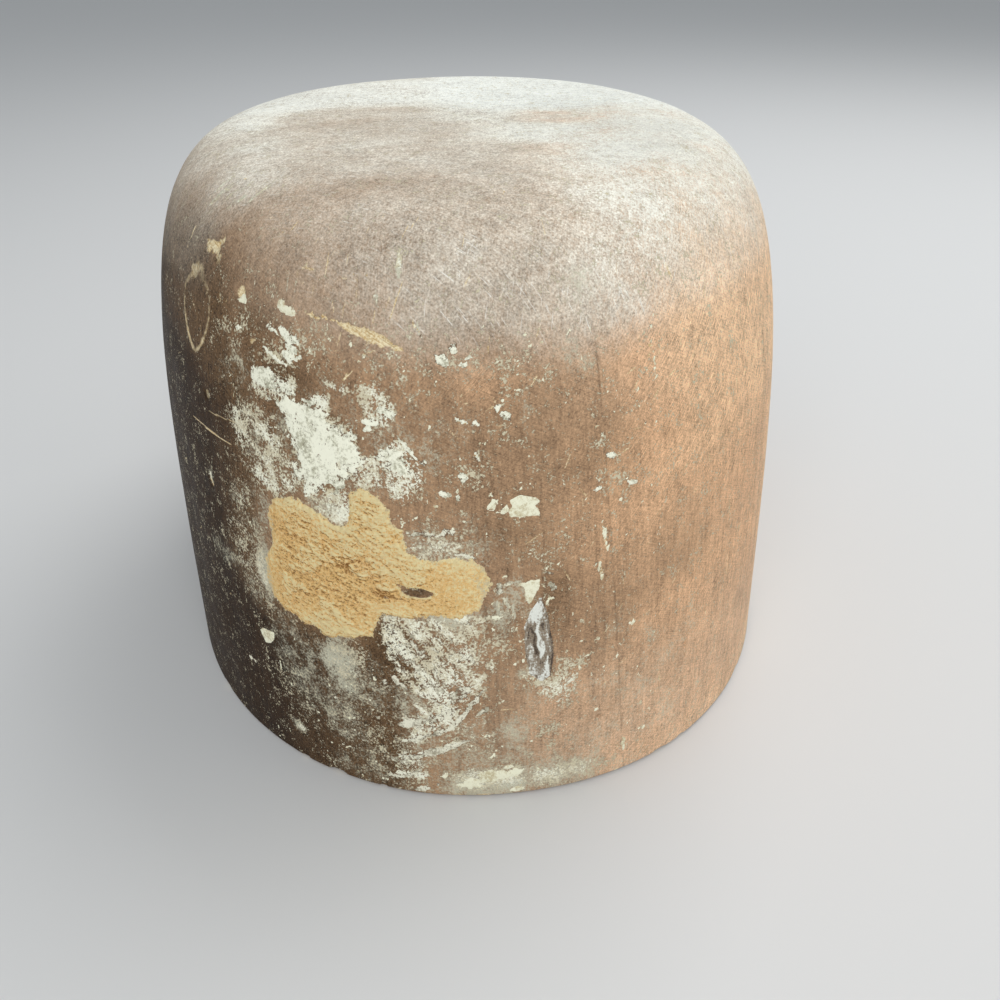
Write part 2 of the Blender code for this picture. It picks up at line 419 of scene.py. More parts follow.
# Cuts and dents. A pit is its place and its radius, and a nick in the foot its place round the wall,
# its half width and its depth.
SCRATCHES = [
    (130, 88, 148, 82, 0.5, 0.8), (108, 60, 116, 66, 0.4, 0.7), (176, 40, 190, 52, 0.4, 0.7),
    (-190, 66, -176, 58, 0.5, 0.8), (232, 96, 240, 84, 0.4, 0.7), (-240, 30, -228, 41, 0.4, 0.6),
    (-91, 80.3, -68, 79.6, 0.6, 1.0), (-84, 84.4, -69, 85.6, 0.5, 0.8), (-80, 77.4, -67, 74.2, 0.5, 0.6),
    (-77, 71, -70, 75.5, 0.4, 0.5), (-78.5, 66, -74, 68.5, 0.4, 0.6), (-80.2, 95, -79.6, 92, 0.5, 0.6),
    (-76.5, 94.5, -76.2, 92, 0.4, 0.6), (-74.6, 95, -74, 93, 0.4, 0.6), (-78, 93.8, -77.6, 91.5, 0.4, 0.5),
    (24, 99.2, 27, 100.3, 0.5, 0.9), (31, 47.2, 36.2, 49.5, 0.5, 0.6), (34.4, 78.4, 52, 81.0, 0.4, 0.6),
    (46, 81.5, 64, 77.5, 0.4, 0.7), (60, 77.2, 86, 74, 0.5, 0.7), (43, 69, 46.5, 70.6, 0.5, 0.7),
    (12.4, 78.6, 14.6, 75.4, 0.5, 0.9), (0, 67.4, 5, 70.6, 0.4, 0.8), (9, 62, 13.6, 65.4, 0.4, 0.6),
    (20, 64.2, 24, 64.7, 0.4, 0.7), (35.6, 27, 37, 20.5, 0.6, 0.8), (25, 12, 26, 6, 0.7, 0.6),
    (-12.8, 93.9, -10.2, 93.5, 0.4, 1.0), (-5.5, 92.6, 0.5, 93.2, 0.3, 0.7),
    (-14.6, 92.6, -12.4, 90.2, 0.5, 0.9), (-9.3, 88, -8, 86.4, 0.6, 1.0),
    (-7.4, 95.3, -3.4, 97.2, 0.4, 0.8), (-5.2, 26.2, -1, 26.0, 0.4, 0.9), (5, 84.6, 11, 85.4, 0.4, 0.6),
    (-2, 70.5, 3, 72, 0.4, 0.3), (40, 96, 45, 92, 0.4, 0.4), (61.5, 91, 61.8, 87, 1.0, 0.7),
    (60.3, 64, 60.9, 56, 1.0, 0.7), (61.5, 48, 62.5, 38, 1.2, 0.6), (64, 76, 66.5, 75.6, 0.6, 0.7),
    (48, 74, 52, 73.2, 0.4, 0.6), (66, 37, 68, 34, 0.8, 0.5), (17.8, 70.5, 19.0, 62.5, 0.9, 0.75),
    (17.4, 60.8, 18.0, 56.4, 1.0, 0.75), (2.4, 112, 1.2, 96, 1.4, 0.3), (1.2, 96, 0.8, 86, 1.0, 0.3),
    (49.5, 103, 50, 88, 1.0, 0.35), (70, 104, 72, 90, 1.0, 0.4),
]
GOUGE = [
    (-31.2, 108.3, 5.4, 1.15, 1.0, -14), (-36.0, 109.4, 3.4, 0.75, 0.9, -10),
    (-26.8, 107.2, 3.4, 0.7, 0.9, -15), (-43.0, 110.5, 6.0, 0.24, 1.0, -6),
]
CHIPS = [
    (-82.4, 113.6, 3.4, 0.7, 0.9, 4), (-80.2, 114.4, 2.4, 0.4, 0.8, 10), (-85.5, 113.8, 1.6, 0.4, 0.7),
    (-79.4, 113.0, 1.4, 0.5, 0.6), (-68.1, 110.8, 1.7, 0.6, 0.8, -4), (-76.4, 109.0, 0.3, 0.9, 0.8),
    (-73.6, 109.2, 0.3, 0.7, 0.7), (-90.2, 111.0, 2.2, 0.7, 0.6), (-63.4, 103.7, 1.5, 0.5, 0.6, 8),
    (-84.4, 67.6, 0.6, 1.8, 0.9, 8), (-82, 88.4, 0.9, 1.3, 0.5, 20), (-22, 95.5, 0.7, 1.5, 0.4, 30),
]
PITS = [
    (45.0, 29.3, 0.7), (18.1, 19.3, 0.6), (28.7, 118.0, 0.5), (26.4, 124.0, 0.6), (5.6, 121.7, 0.4),
    (-14.6, 116.0, 0.5), (-2.5, 113.8, 0.4), (-81.0, 114.1, 0.7), (9.0, 127.3, 0.5), (104.0, 134.5, 0.5),
    (-41.0, 92.3, 1.0), (-57.5, 92.0, 1.2), (-51.6, 82.6, 0.9), (-50.6, 81.8, 0.7), (-42.6, 78.0, 1.0),
]
NICKS = [
    (-48.5, 2.6, 0.7), (-59.0, 1.6, 0.5), (-35.2, 1.3, 0.5), (-16.0, 1.8, 0.4), (-9.2, 2.2, 0.35),
    (24.0, 1.2, 0.3), (38.0, 2.8, 0.5), (46.0, 1.6, 0.5), (78.0, 2.4, 0.6), (112.0, 3.0, 0.6),
    (168.0, 3.6, 0.7), (214.0, 2.2, 0.5), (-96.0, 2.4, 0.5), (-140.0, 3.4, 0.7), (-205.0, 2.6, 0.6),
    (-255.0, 1.8, 0.4), (266.0, 2.4, 0.5),
]
RUB_PLACE, RUB_SIZE = (-87.0, 104.0), (6.6, 7.6)
SCRATCH_DEPTH, GOUGE_DEPTH, CHIP_DEPTH, PIT_DEPTH = 0.10, 0.40, 0.50, 0.7
RUB_HEIGHT, SHOULDER_PITS_ABOVE = 0.07, 110


def rub_edge(far, high):
    """1 on the rim of the oval patch that something rubbed on the left shoulder."""
    x, y = (far - RUB_PLACE[0]) / RUB_SIZE[0], (high - RUB_PLACE[1]) / RUB_SIZE[1]
    rim = np.exp(-(((np.hypot(x / (1.0 + 0.35 * y), y) - 1) / 0.12) ** 2))
    return rim * (0.8 + 0.2 * eased(-y, -0.2, 0.7)) * (0.85 + 0.15 * eased(-x, -0.2, 0.5))


def relief(far, high):
    """How far the worn surface stands out of the carved one, in metres."""
    torn = stirred(far, high, 1.6, 0.8, 81)
    depth = SCRATCH_DEPTH * scored(far, high, SCRATCHES)
    depth += GOUGE_DEPTH * dabbed(*torn, GOUGE) + CHIP_DEPTH * dabbed(*torn, CHIPS)
    flattened = [r * (0.35 if y > SHOULDER_PITS_ABOVE else 1.0) for x, y, r in PITS]
    depth += dabbed(far, high, [(x, y, r, flat, PIT_DEPTH) for (x, y, r), flat in zip(PITS, flattened)])
    depth += dabbed(far, high, [(x, 0.0, wide, deep * 1.8, deep) for x, wide, deep in NICKS])
    return -MM * (depth - RUB_HEIGHT * rub_edge(far, high))


# The planks. Five planks of a pale even hardwood, glued face to face and carved as one, with the grain
# upright. Hands, felt and steam have stained the left side dark and left the right side warm and bare, and
# the crown carries a chalky bloom. The lower left is darkened further, partly as real stain and partly as
# painted shade, and the thickest bloom at the back of the crown is whitened as painted sheen. The base is
# flat, with a socket for a peg.
COLUMNS, WALL_ROWS, CROWN_ROWS = 960, 300, 110
FRONT_CROWDING, SHOULDER_CROWDING = 0.45, 1.35
COARSER_FROM = (0.55, 0.28, 0.12)
PLANK_SHARP_FROM, WOOD_BUMP = math.radians(50), 0.00022
EDGE_BREAK = 0.8
SOCKET_RADIUS, SOCKET_DEPTH, SOCKET_CHAMFER, DRILL_POINT = 13.0, 55.0, 1.5, 1.5
BASE_RINGS = (0.04, 0.12, 0.25, 0.4, 0.55, 0.7, 0.85, 1.0)
SOCKET_RINGS, SOCKET_END_RINGS = (SOCKET_CHAMFER, 4, 9, 16, 24, 33, 42, 50, SOCKET_DEPTH), (9.0, 4.0)
PLANK_THICKNESS = 0.041
JOINT_GAP = 0.00002

turn = np.arange(COLUMNS) / COLUMNS * math.tau - math.pi
far_round = (turn - FRONT_CROWDING * np.sin(turn)) * GIRTH / math.tau / MM
rows = [(level, 1) for level in np.linspace(EDGE_BREAK, SHOULDER_UP / MM, WALL_ROWS)]
for share in np.linspace(0, 1, CROWN_ROWS + 1)[1:-1] ** SHOULDER_CROWDING:
    skipped = 2 ** sum(1 - share < limit for limit in COARSER_FROM)
    rows.append(((SHOULDER_UP + CROWN_REACH * share) / MM, skipped))
rings, start = [], 0
for level, skipped in rows:
    rings.append(np.arange(start, start + COLUMNS // skipped))
    start += COLUMNS // skipped
top = (SHOULDER_UP + CROWN_REACH) / MM
far = np.concatenate([far_round[::skipped] for _, skipped in rows] + [[0.0]])
high = np.concatenate([np.full(COLUMNS // skipped, level) for level, skipped in rows] + [[top]])
faces = {3: [], 4: [], 5: []}


def bridge(lower, upper):
    """Faces between two rings of points; one may be a point, or have twice as many as the other."""
    if len(lower) == 1:
        faces[3].append(np.stack([np.full_like(upper, lower[0]), np.roll(upper, -1), upper], 1))
    elif len(upper) == 1:
        faces[3].append(np.stack([lower, np.roll(lower, -1), np.full_like(lower, upper[0])], 1))
    elif len(lower) == len(upper):
        faces[4].append(np.stack([lower, np.roll(lower, -1), np.roll(upper, -1), upper], 1))
    elif len(lower) > len(upper):
        ends = lower[::2], lower[1::2], np.roll(lower[::2], -1)
        faces[5].append(np.stack([*ends, np.roll(upper, -1), upper], 1))
    else:
        ends = np.roll(upper[::2], -1), upper[1::2], upper[::2]
        faces[5].append(np.stack([lower, np.roll(lower, -1), *ends], 1))


for lower, upper in zip(rings, rings[1:] + [np.array([len(far) - 1])]):
    bridge(lower, upper)
sheet = bpy.data.meshes.new("carved_sheet")
sheet.from_pydata(
    np.stack([far * MM, high * MM, relief(far, high)], 1).tolist(), [],
    [face for kind in faces.values() for part in kind for face in part.tolist()],
)
carved = grown(sheet, wrap_tree, Groove_Depth=JOINT_GROOVE_DEPTH)
spots = np.empty(len(carved.vertices) * 3, np.float32)
carved.vertices.foreach_get("co", spots)
spots = spots.reshape(-1, 3).astype(float)

# The flat base and the socket, from the rim of the wall inwards.
angle = far_round * MM * math.tau / GIRTH
circle = np.stack([np.sin(angle), -np.cos(angle), np.zeros(COLUMNS)], 1) * MM
rim = spots[rings[0]]
edge = rim * (1 - EDGE_BREAK * MM / np.linalg.norm(rim[:, :2], axis=1))[:, None] * (1, 1, 0)
mouth, rise = circle * (SOCKET_RADIUS + SOCKET_CHAMFER), np.array([[0.0, 0.0, MM]])
under = [edge] + [(edge * (1 - share) + mouth * share)[::2] for share in BASE_RINGS]
under += [circle[::2] * SOCKET_RADIUS + rise * depth for depth in SOCKET_RINGS]
under += [circle[::4] * radius + rise * SOCKET_DEPTH for radius in SOCKET_END_RINGS]
under.append(rise * (SOCKET_DEPTH + DRILL_POINT))
above, start = rings[0], len(spots)
for ring in under:
    below = np.arange(start, start + len(ring))
    bridge(below, above)
    above, start = below, start + len(ring)
below_rim = np.concatenate(under)
spots = np.concatenate([spots, below_rim])

# What covers the wood, one value for each point. Stain is dark, and on the lower left it also carries
# painted shade; warmth is wood that hands kept bare; bloom is the dust of the crown, and where it is
# thickest, at the back of the crown, it also carries painted sheen; chalk is a haze of old whitewash,
# speckled is its spatter and bare is torn fibre. The right side, the back and the base carry fewer marks
# than the front.
HALF_ACROSS, HALF_DEEP = 0.079, 0.097
STAINS = [
    (-16, 88, 9, 9, 0.3), (-5, 70, 8, 6, 0.4), (8, 54, 9, 12, 0.4), (-46, 100, 7, 6, 0.4),
    (-60, 102, 7, 7, 0.35), (-44, 88, 22, 14, 0.48), (-22, 40, 8, 12, 0.6), (8, 54, 7, 12, 0.56),
    (23, 86, 11, 26, 0.34), (-23.4, 57, 5, 2.5, 0.8), (-16, 85, 8, 7, 0.2), (-30, 45, 7, 8, 0.95),
    (-5, 50, 5, 8, 0.55), (-72, 84, 8, 16, 0.4), (-52, 99, 10, 6, 0.6), (-92, 110, 26, 6.5, 0.62),
    (-62, 108, 12, 5.5, 0.42), (138, 30, 20, 32, 0.5), (196, 74, 28, 22, 0.42), (236, 18, 26, 20, 0.55),
    (-215, 48, 22, 36, 0.5), (-250, 98, 22, 9, 0.45), (120, 1, 60, 6, 0.45), (276, 62, 12, 40, 0.4),
    (112, 84, 9, 16, 0.34),
]
COOLED = [
    (36, 58, 18, 13, 0.5), (24, 47, 14, 18, 0.62), (34, 30, 18, 16, 0.52), (80, 26, 12, 18, 0.42),
    (20, 90, 10, 14, 0.34), (32, 88, 10, 8, 0.36), (26, 16, 34, 12, 0.24),
]
WARMED = [
    (-16, 102, 24, 8, 0.55), (-36, 106, 8, 5, 0.2), (4, 20, 9, 16, 0.45), (-5, 84, 7, 12, 0.3),
    (-8, 101, 11, 7, 0.72), (-5, 86, 10, 10, 0.12), (56, 40, 12, 7, 0.14),
]
# Places seen from above, across and back, with a half width, a half depth and how much bloom is gone.
BLOOM_GONE = [
    (-26, -4, 12, 6, 0.16), (-14, -11, 12, 5, 0.06), (20, -13, 9, 4.5, 0.48), (-24, 10, 12, 5, 0.24),
    (22, -3, 8, 4, 0.38), (36, -6, 6, 4, 0.08), (-13, 7, 10, 4, 0.2), (-48, -26, 7, 7, -0.25),
    (-50, -4, 7, 12, -0.4), (-27, -33, 9, 4, -0.1), (-4, -23, 9, 5, 0.16), (0, -8, 8, 4, -0.16),
    (-20, -62, 10, 5, 0.14), (12, -44, 8, 5, 0.14), (-2, 60, 50, 6, 0.15), (36, 50, 20, 6, 0.2),
    (-36, -12, 9, 5, 0.08), (30, 14, 14, 3, 0.12),
]
CHALKED = [
    (-65, 52, 4, 10, 0.95), (-66, 62, 3, 6, 0.5), (-70, 45, 6, 7, 0.45), (-44, 36, 7, 8, 0.95),
    (-42, 30, 7, 6, 0.78), (-44, 20, 14, 10, 0.46), (-25, 28, 9, 9, 0.58), (-22, 16, 10, 9, 0.5),
    (-12, 14, 20, 12, 0.5), (-3, 18, 7, 8, 0.62), (-12, 67, 8, 8, 0.46), (-36, 30, 8, 8, 0.52),
    (-70, 98, 9, 7, 0.3), (-20, 92, 16, 16, 0.3), (-62, 66, 6, 8, 0.5), (-15, 50, 9, 5, 0.85),
    (-14, 40, 8, 8, 0.62), (-8, 5, 14, 6, 1.05), (-35, 7, 12, 8, 0.46), (-4, 12, 10, 8, 0.48),
    (8, 5, 14, 5, 0.92), (24, 4, 14, 4, 0.4), (40, 3, 34, 4, 0.3), (-1, 54, 5, 5, 0.42), (1, 36, 3, 3, 0.6),
    (28, 30, 34, 18, 0.24), (30, 13, 46, 12, 0.28), (-4.5, 50, 4, 9, 0.62), (4, 30, 8, 8, 0.3),
    (-80, 50, 9, 4, 0.5, 10), (-56, 30, 12, 12, 0.46), (-45, 6, 5, 4, 0.5), (-56, 19, 8, 5, 0.38),
    (-60, 10, 3, 2, 0.85), (-58, 38, 9, 7, 0.5), (-48, 84, 13, 14, 0.5), (-30, 84, 9, 10, 0.5),
    (-32, 95, 9, 5, 0.4), (-64, 84, 7, 9, 0.52), (-66, 71, 6, 6, 0.3), (-18, 68, 8, 4, 0.66),
    (-22, 62, 5, 5, 0.5), (1.5, 100, 1.6, 14, 0.3), (12, 104, 5, 8, 0.32), (15, 113, 5, 1.6, 0.65),
    (-2, 56, 4, 8, 0.45), (-43, 73.5, 6, 3, 1.0, -15), (-70, 56, 6, 12, 0.36), (-72, 68, 5, 6, 0.32),
    (33, 37, 4, 6, 0.26), (22, 43, 4, 6, 0.26), (-84, 68, 1.5, 3, 0.5, 8), (-54, 103, 6, 4, 0.35),
]
SPATTERED = [
    (-66, 52, 4, 11, 0.66), (-72, 56, 7, 12, 0.46), (-70, 68, 6, 6, 0.44), (-54, 103, 6, 5, 0.5),
    (-48, 106, 9, 4, 0.44), (-18, 68, 8, 4, 0.62), (-22, 63, 5, 4, 0.55), (-28, 10, 9, 7, 0.5),
    (-8, 6, 12, 4.5, 0.84), (8, 5, 13, 4, 0.72), (-14, 38, 9, 14, 0.66), (-25, 81, 5, 4, 0.76),
    (6, 20, 6, 6, 0.38), (21, 80, 6, 5, 0.44), (17, 88, 3, 3, 0.44), (5, 66, 6, 6, 0.36),
    (-12, 83, 5, 4, 0.44), (-3, 92, 4, 4, 0.36), (-22, 104, 18, 7, 0.34), (0, 103, 8, 6, 0.3),
    (-60, 20, 12, 14, 0.26), (-38, 18, 14, 16, 0.3), (40, 76, 30, 20, 0.14), (-10, 20, 14, 12, 0.36),
    (150, 70, 12, 7, 0.44), (-160, 84, 14, 8, 0.48), (215, 50, 9, 14, 0.46), (262, 92, 13, 7, 0.44),
    (112, 26, 10, 8, 0.42), (-66, 104, 14, 8, 0.28), (2, 35, 3, 3, 0.66), (-5, 44, 6, 8, 0.4),
]
STROKES = [
    (-92, 117.5, -88, 123, 0.9, 0.9), (-90.5, 118.5, -85.5, 124, 0.7, 0.8),
    (-93.5, 119, -90.5, 124.5, 0.7, 0.8), (-86.5, 118.5, -83, 122.5, 0.6, 0.8),
    (-82, 121.5, -80.4, 125.5, 0.6, 0.8), (-76, 119.6, -73.6, 123.4, 0.6, 0.8),
    (-74.4, 121.4, -71.6, 126.2, 0.5, 0.8), (-79, 122.1, -78.6, 126.2, 0.5, 0.8),
    (-77, 123, -75.5, 126, 0.4, 0.6), (-71.7, 123.8, -72.7, 127.8, 0.5, 0.7),
    (-80.5, 119.7, -77.9, 121.8, 0.8, 0.9), (-83, 118, -80, 121, 0.5, 0.6),
    (-5.6, 56.2, -4.5, 51, 0.4, 1.0), (-3.6, 56.8, -2.7, 51.6, 0.4, 1.0),
    (-25.7, 116.6, -25.0, 113.6, 1.1, 0.8), (-20.8, 111.2, -20.2, 109.2, 0.6, 0.9),
    (-30.6, 113.0, -30.0, 111.8, 0.5, 0.8), (-53.8, 113.6, -53.6, 111.8, 0.5, 0.9),
    (-51.6, 113.2, -51.4, 112.0, 0.4, 0.8), (-2.2, 55, -1.6, 50, 0.4, 0.9),
    (-4.4, 58.6, -0.8, 59.4, 0.9, 0.9), (-6, 57, -3, 58.8, 0.7, 0.8),
]
# Boxes of the sheet, each with how many scuffs it has and their seed.
SCUFFED = [
    (-100, 92, 84, 130, 130, 3), (18, 84, 84, 112, 60, 4), (-100, 20, -70, 92, 30, 5),
    (8, 10, 84, 84, 70, 6), (-54, 111, -44, 115, 9, 8), (-44, 109, -34, 115, 12, 9),
    (-52, 104, -16, 112, 22, 10), (95, 8, 280, 112, 90, 12), (-280, 8, -100, 112, 80, 13),
]
MAIN_SPLASH = [
    (-56.3, 93.6), (-48.4, 94.3), (-42.2, 92.9), (-38.3, 91.4), (-33.8, 85.6), (-37.9, 81), (-43.2, 78.4),
    (-49.2, 76.4), (-49.9, 81), (-52.1, 87.2), (-53.6, 91),
]
SPONGED = [
    (0.86, 2.2, MAIN_SPLASH),
    (0.74, 1.0, [(-63.6, 97.6), (-59.7, 99.2), (-55, 99), (-50.4, 98.5), (-50.4, 96.6), (-54, 94),
        (-60, 93.2), (-65, 94)]),
    (0.72, 1.2, [(-35.6, 99.3), (-30.4, 100.1), (-25.7, 96.4), (-26.5, 93.3), (-29.8, 91.5),
        (-33.4, 92.8), (-35.1, 97.1)]),
    (0.72, 1.5, [(-40.2, 93.1), (-35.9, 90.9), (-34.7, 87.1), (-29.5, 86.9), (-26.2, 90.3),
        (-23.6, 88.9), (-19.8, 85.1), (-19.5, 82.7), (-24.2, 77.4), (-27.8, 76.3), (-28.1, 79.6),
        (-33.3, 79.1), (-38.9, 80.8)]),
    (0.74, 1.5, [(-49.2, 76.8), (-38.1, 78.8), (-35.2, 72.4), (-40.8, 69.5), (-46.8, 72)]),
    (0.76, 0.8, [(-48.3, 95.4), (-44, 97.2), (-41, 96.5), (-41.7, 92.9), (-45.2, 94)]),
    (0.66, 0.8, [(-43, 99.2), (-38, 99.8), (-36, 98.9), (-37.5, 97.6), (-42, 97.8)]),
    (0.5, 1.5, [(-46.4, 39.5), (-39, 42.6), (-36, 40.6), (-38.8, 27.2), (-42.4, 29.6), (-47, 33.8)]),
    (0.62, 2.0, [(0.8, 37.3), (1.2, 34), (5.6, 34.3), (7, 39.5), (12.7, 38.3), (15.3, 35.4),
        (12.4, 31.8), (12, 25.1), (7.1, 23.3), (3.4, 28.1)]),
]
BRUSHED = [
    (0.6, 2.5, [(-72.9, 88.4), (-66, 92), (-58, 91.4), (-52.4, 83.4), (-49.3, 80.6), (-48.1, 76.6),
        (-56, 73.2), (-64, 72), (-70, 76.5)]),
    (0.66, 1.6, [(-32.8, 50.5), (-31.9, 41.9), (-29.3, 35.9), (-24.9, 28.8), (-30.3, 21.6),
        (-25.4, 20.1), (-28.7, 16), (-26.2, 15.2), (-19, 19), (-15, 23.9), (-10.1, 30.6), (-7.7, 34.9),
        (-5, 37.5), (-5.9, 40.7), (-9.8, 41.5), (-9.7, 46.1), (-6.5, 51), (-15.8, 52.7), (-20.4, 50.5),
        (-25, 51.6)]),
    (0.64, 1.2, [(-26.4, 27.5), (-30.3, 21.6), (-25.4, 20.1), (-28.7, 16), (-26.2, 15.2), (-19, 19),
        (-15, 23.9), (-10.1, 30.6), (-12.4, 32.3), (-18.6, 28.3)]),
    (0.9, 0.5, [(-33, 9), (-22.3, 12.4), (-12.8, 17.2), (-13.4, 18.4), (-22.6, 14.4), (-32.6, 10.6)]),
    (0.7, 0.7, [(-34, 4), (-24, 5.6), (-22, 8.2), (-28, 7.4), (-34, 6)]),
]
BASE_COVER = {"stain": 0.45, "warmth": 0.3, "bloom": 0.12, "chalk": 0.08, "speckled": 0.2, "bare": 0.0}

across, deep = spots[:len(far), 0], spots[:len(far), 1]
to_right, to_back = np.clip(across / HALF_ACROSS, -1, 1), np.clip(deep / HALF_DEEP, -1, 1)

unsettled = eased(-far, 92, 130)
pushed = stirred(far, high, 48.0, 34.0, 63)
strayed = [plain + (moved - plain) * unsettled for plain, moved in zip((far, high), pushed)]
# Painted shade: the lower left side and the low front left are darkened towards black, partly as real stain
# and partly as the shade that side lies in.
black_and_shaded_side = eased(-far, 60, 96) * eased(-strayed[0], 225, 115)
black_and_shaded_side *= eased(strayed[1], 110 + 8 * unsettled, 84 - 14 * unsettled)
stain = 0.75 * eased(-to_right, 0.35, 0.85) * (0.35 + 0.65 * eased(high, 120, 100)) + 1.35 * black_and_shaded_side
stain += 1.05 * eased(-far, 18, 36) * eased(-strayed[0], 190, 110) * eased(strayed[1], 50, 34)
stain += dabbed(far, high, STAINS, soft=True)

warmth = eased(to_right, -0.08, 0.38) * eased(-to_back, -1.0, 0.2) + 0.35 * eased(to_back, -0.2, 0.8)
warmth += eased(to_right, 0.2, 0.5) * (0.42 * eased(high, 66, 92) + 0.25 * eased(high, 14, 4))
warmth += 0.25 * eased(to_right, 0.66, 0.9)
warmth += dabbed(far, high, WARMED, soft=True) - dabbed(far, high, COOLED, soft=True)

later, gather = eased(to_right, 0.15, 0.45), eased(-to_right, 0.28, 0.72)
behind = eased(to_back, 0.0, 0.5)
lowest, fullest = 99.5 + 4.5 * later + 5 * gather - 9 * behind, 117 + 3 * later + 8 * gather + 12 * behind
sideways, backward = stirred(across / MM, deep / MM, 15.0, 4.0, 97)
level = 0.47 + 0.12 * eased(backward, -64, -48) + 0.50 * eased(backward, -6, 22)
level += 0.36 * eased(sideways - 14 * eased(-backward, 26, 44), -10, 12)
level -= 0.22 * eased(sideways, 30, 52) * eased(-backward, 30, 50)
level -= 0.25 * eased(-sideways, 14, 42) * eased(-backward, 48, 62)
level -= 0.20 * eased(-sideways, 42, 60) * eased(-backward, 15, 40)
for x, y, wide, long, gone in BLOOM_GONE:
    level -= gone * np.exp(-(((sideways - x) / wide) ** 2) - ((backward - y) / long) ** 2)
# The bloom is thickest at the back of the crown; there its whiter colour is painted sheen over real bloom.
bloom = eased(high, lowest, fullest) * np.clip(level, 0, 1.4)
bloom += 0.06 * eased(high, 84, 108) * eased(to_right, -0.1, 0.3)
bloom += 0.09 * eased(high, 50, 14) * eased(far, -20, 14) * eased(far, 220, 90)

torn = stirred(far, high, 3.0, 1.3, 61)
chalk = np.maximum(dabbed(far, high, CHALKED, soft=True), scored(far, high, STROKES))
combed = 0.25 + 1.5 * blotches(far + high, (far - high) * 0.3, 2.2, 66, 4)
speckled = np.maximum.reduce([
    patched(*torn, SPONGED), patched(*torn, BRUSHED) * combed, dabbed(*torn, SPATTERED, soft=True),
    0.16 * blotches(far, high, 52.0, 67, 4), 0.85 * scored(*torn, STROKES),
])

scuffed = np.zeros(len(far))
for left, low, right, top, *strokes in SCUFFED:
    near = np.abs(far - (left + right) / 2) < (right - left) / 2 + 7
    near &= np.abs(high - (low + top) / 2) < (top - low) / 2 + 7
    marked = scored(far[near], high[near], scuffs(left, low, right, top, *strokes))
    scuffed[near] = np.maximum(scuffed[near], marked)
bare = np.maximum.reduce([
    0.8 * scored(far, high, SCRATCHES), 0.8 * scuffed,
    dabbed(*stirred(far, high, 1.6, 0.8, 81), GOUGE + CHIPS),
    0.56 * rub_edge(far, high) + dabbed(far, high, [(*RUB_PLACE, *RUB_SIZE, 0.26)]),
    dabbed(far, high, [(x, 0.0, wide, 1.2, 1.0) for x, wide, _ in NICKS]),
])
covers = {
    name: np.append(value, np.full(len(below_rim), BASE_COVER[name]))
    for name, value in zip(BASE_COVER, (stain, warmth, bloom, chalk, speckled, bare))
}

# The wood's own map: how far round a point lies, and how far up along the surface.
column = spots[[ring[np.argmin(np.abs(far[ring]))] for ring in rings] + [len(far) - 1]]
climbed = EDGE_BREAK * MM + np.append(0.0, np.cumsum(np.linalg.norm(np.diff(column, axis=0), axis=1)))
climbed = np.repeat(climbed, [len(ring) for ring in rings] + [1])
unrolled = np.concatenate([np.stack([far * MM, climbed], 1), below_rim[:, :2]])

# The wood's finish. A hair is its turn, its length and its width; a noise its waves in a metre, its
# detail and its roughness.
MIDDLE_WOOD, WARM_WOOD, PALE_WOOD = (0.378, 0.236, 0.136), (0.68, 0.418, 0.240), (0.93, 0.62, 0.37)
# The blackened colour is partly painted shade, on the lower left side.
STAINED_WOOD, BLACKENED_AND_SHADED_WOOD = (0.135, 0.080, 0.040), (0.040, 0.022, 0.011)
# The whiter bloom colour is painted sheen at the back of the crown, over real bloom.
BLOOM_COLOUR, WHITE_BLOOM_AND_SHEEN, CHALK_COLOUR = (0.87, 0.845, 0.735), (0.93, 0.94, 0.86), (0.66, 0.64, 0.49)
WHITEWASH, DIRTY_WASH = (0.97, 0.96, 0.79), (0.68, 0.61, 0.43)
BARE_WOOD, BARE_FIBRE = (0.62, 0.43, 0.20), (0.95, 0.83, 0.55)
PALE_HAIR, DARK_HAIR = (0.98, 0.96, 0.88), (0.34, 0.28, 0.20)
WOOD_NOISES = {
    "broad": (24.0, 3.0), "drifts": (60.0, 6.0, 0.62), "patchy": (110.0, 4.0, 0.6),
    "fine": (650.0, 4.0, 0.65), "dust": (2400.0, 2.0, 0.6), "grit": (4200.0, 1.0),
}
BANDS, BANDS_DRAWN_OUT = (320.0, 3.0), (1.0, 1.0, 0.045)
FIBRES, FIBRES_DRAWN_OUT = (1500.0, 4.0, 0.7), (1.0, 1.0, 0.07)
SANDED_HAIR, CROSSED_HAIR = (-46, 0.0045, 0.00021), (24, 0.006, 0.00022)
BRUSHED_HAIRS = [
    ((35, 0.0032, 0.00024), 0.5, PALE_HAIR, 0.9), ((-65, 0.0032, 0.00024), -0.4, PALE_HAIR, 0.8),
    ((105, 0.0032, 0.00024), 0.5, DARK_HAIR, 0.4),
]
FINISH = {"Colour": "Color", "Roughness": "Float", "Height": "Float"}


def centred(value, gain):
    """The value's distance from one half, times the gain."""
    return (value - 0.5) * gain


def mixed(noises, **gains):
    """The sum of the noises of these names, each centred and times its gain."""
    return sum(centred(getattr(noises, name), gain) for name, gain in gains.items())


def rises(value, low, high):
    """From 0 to 1, smoothly, as the value goes from low to high."""
    inputs = {"Value": value, "From Min": low, "From Max": high}
    return flow_from(value.tree, "ShaderNodeMapRange", inputs, interpolation_type="SMOOTHSTEP")


def blend(amount, first, second):
    """A colour between two; each is a colour or what flows from a node."""
    first, second = ((*colour, 1.0) if isinstance(colour, tuple) else colour for colour in (first, second))
    return flow_from(amount.tree, "ShaderNodeMix", {0: amount, 6: first, 7: second}, out=2, data_type="RGBA")


def cover_on(tree, name):
    return flow_from(tree, "ShaderNodeAttribute", out="Fac", attribute_name=name)


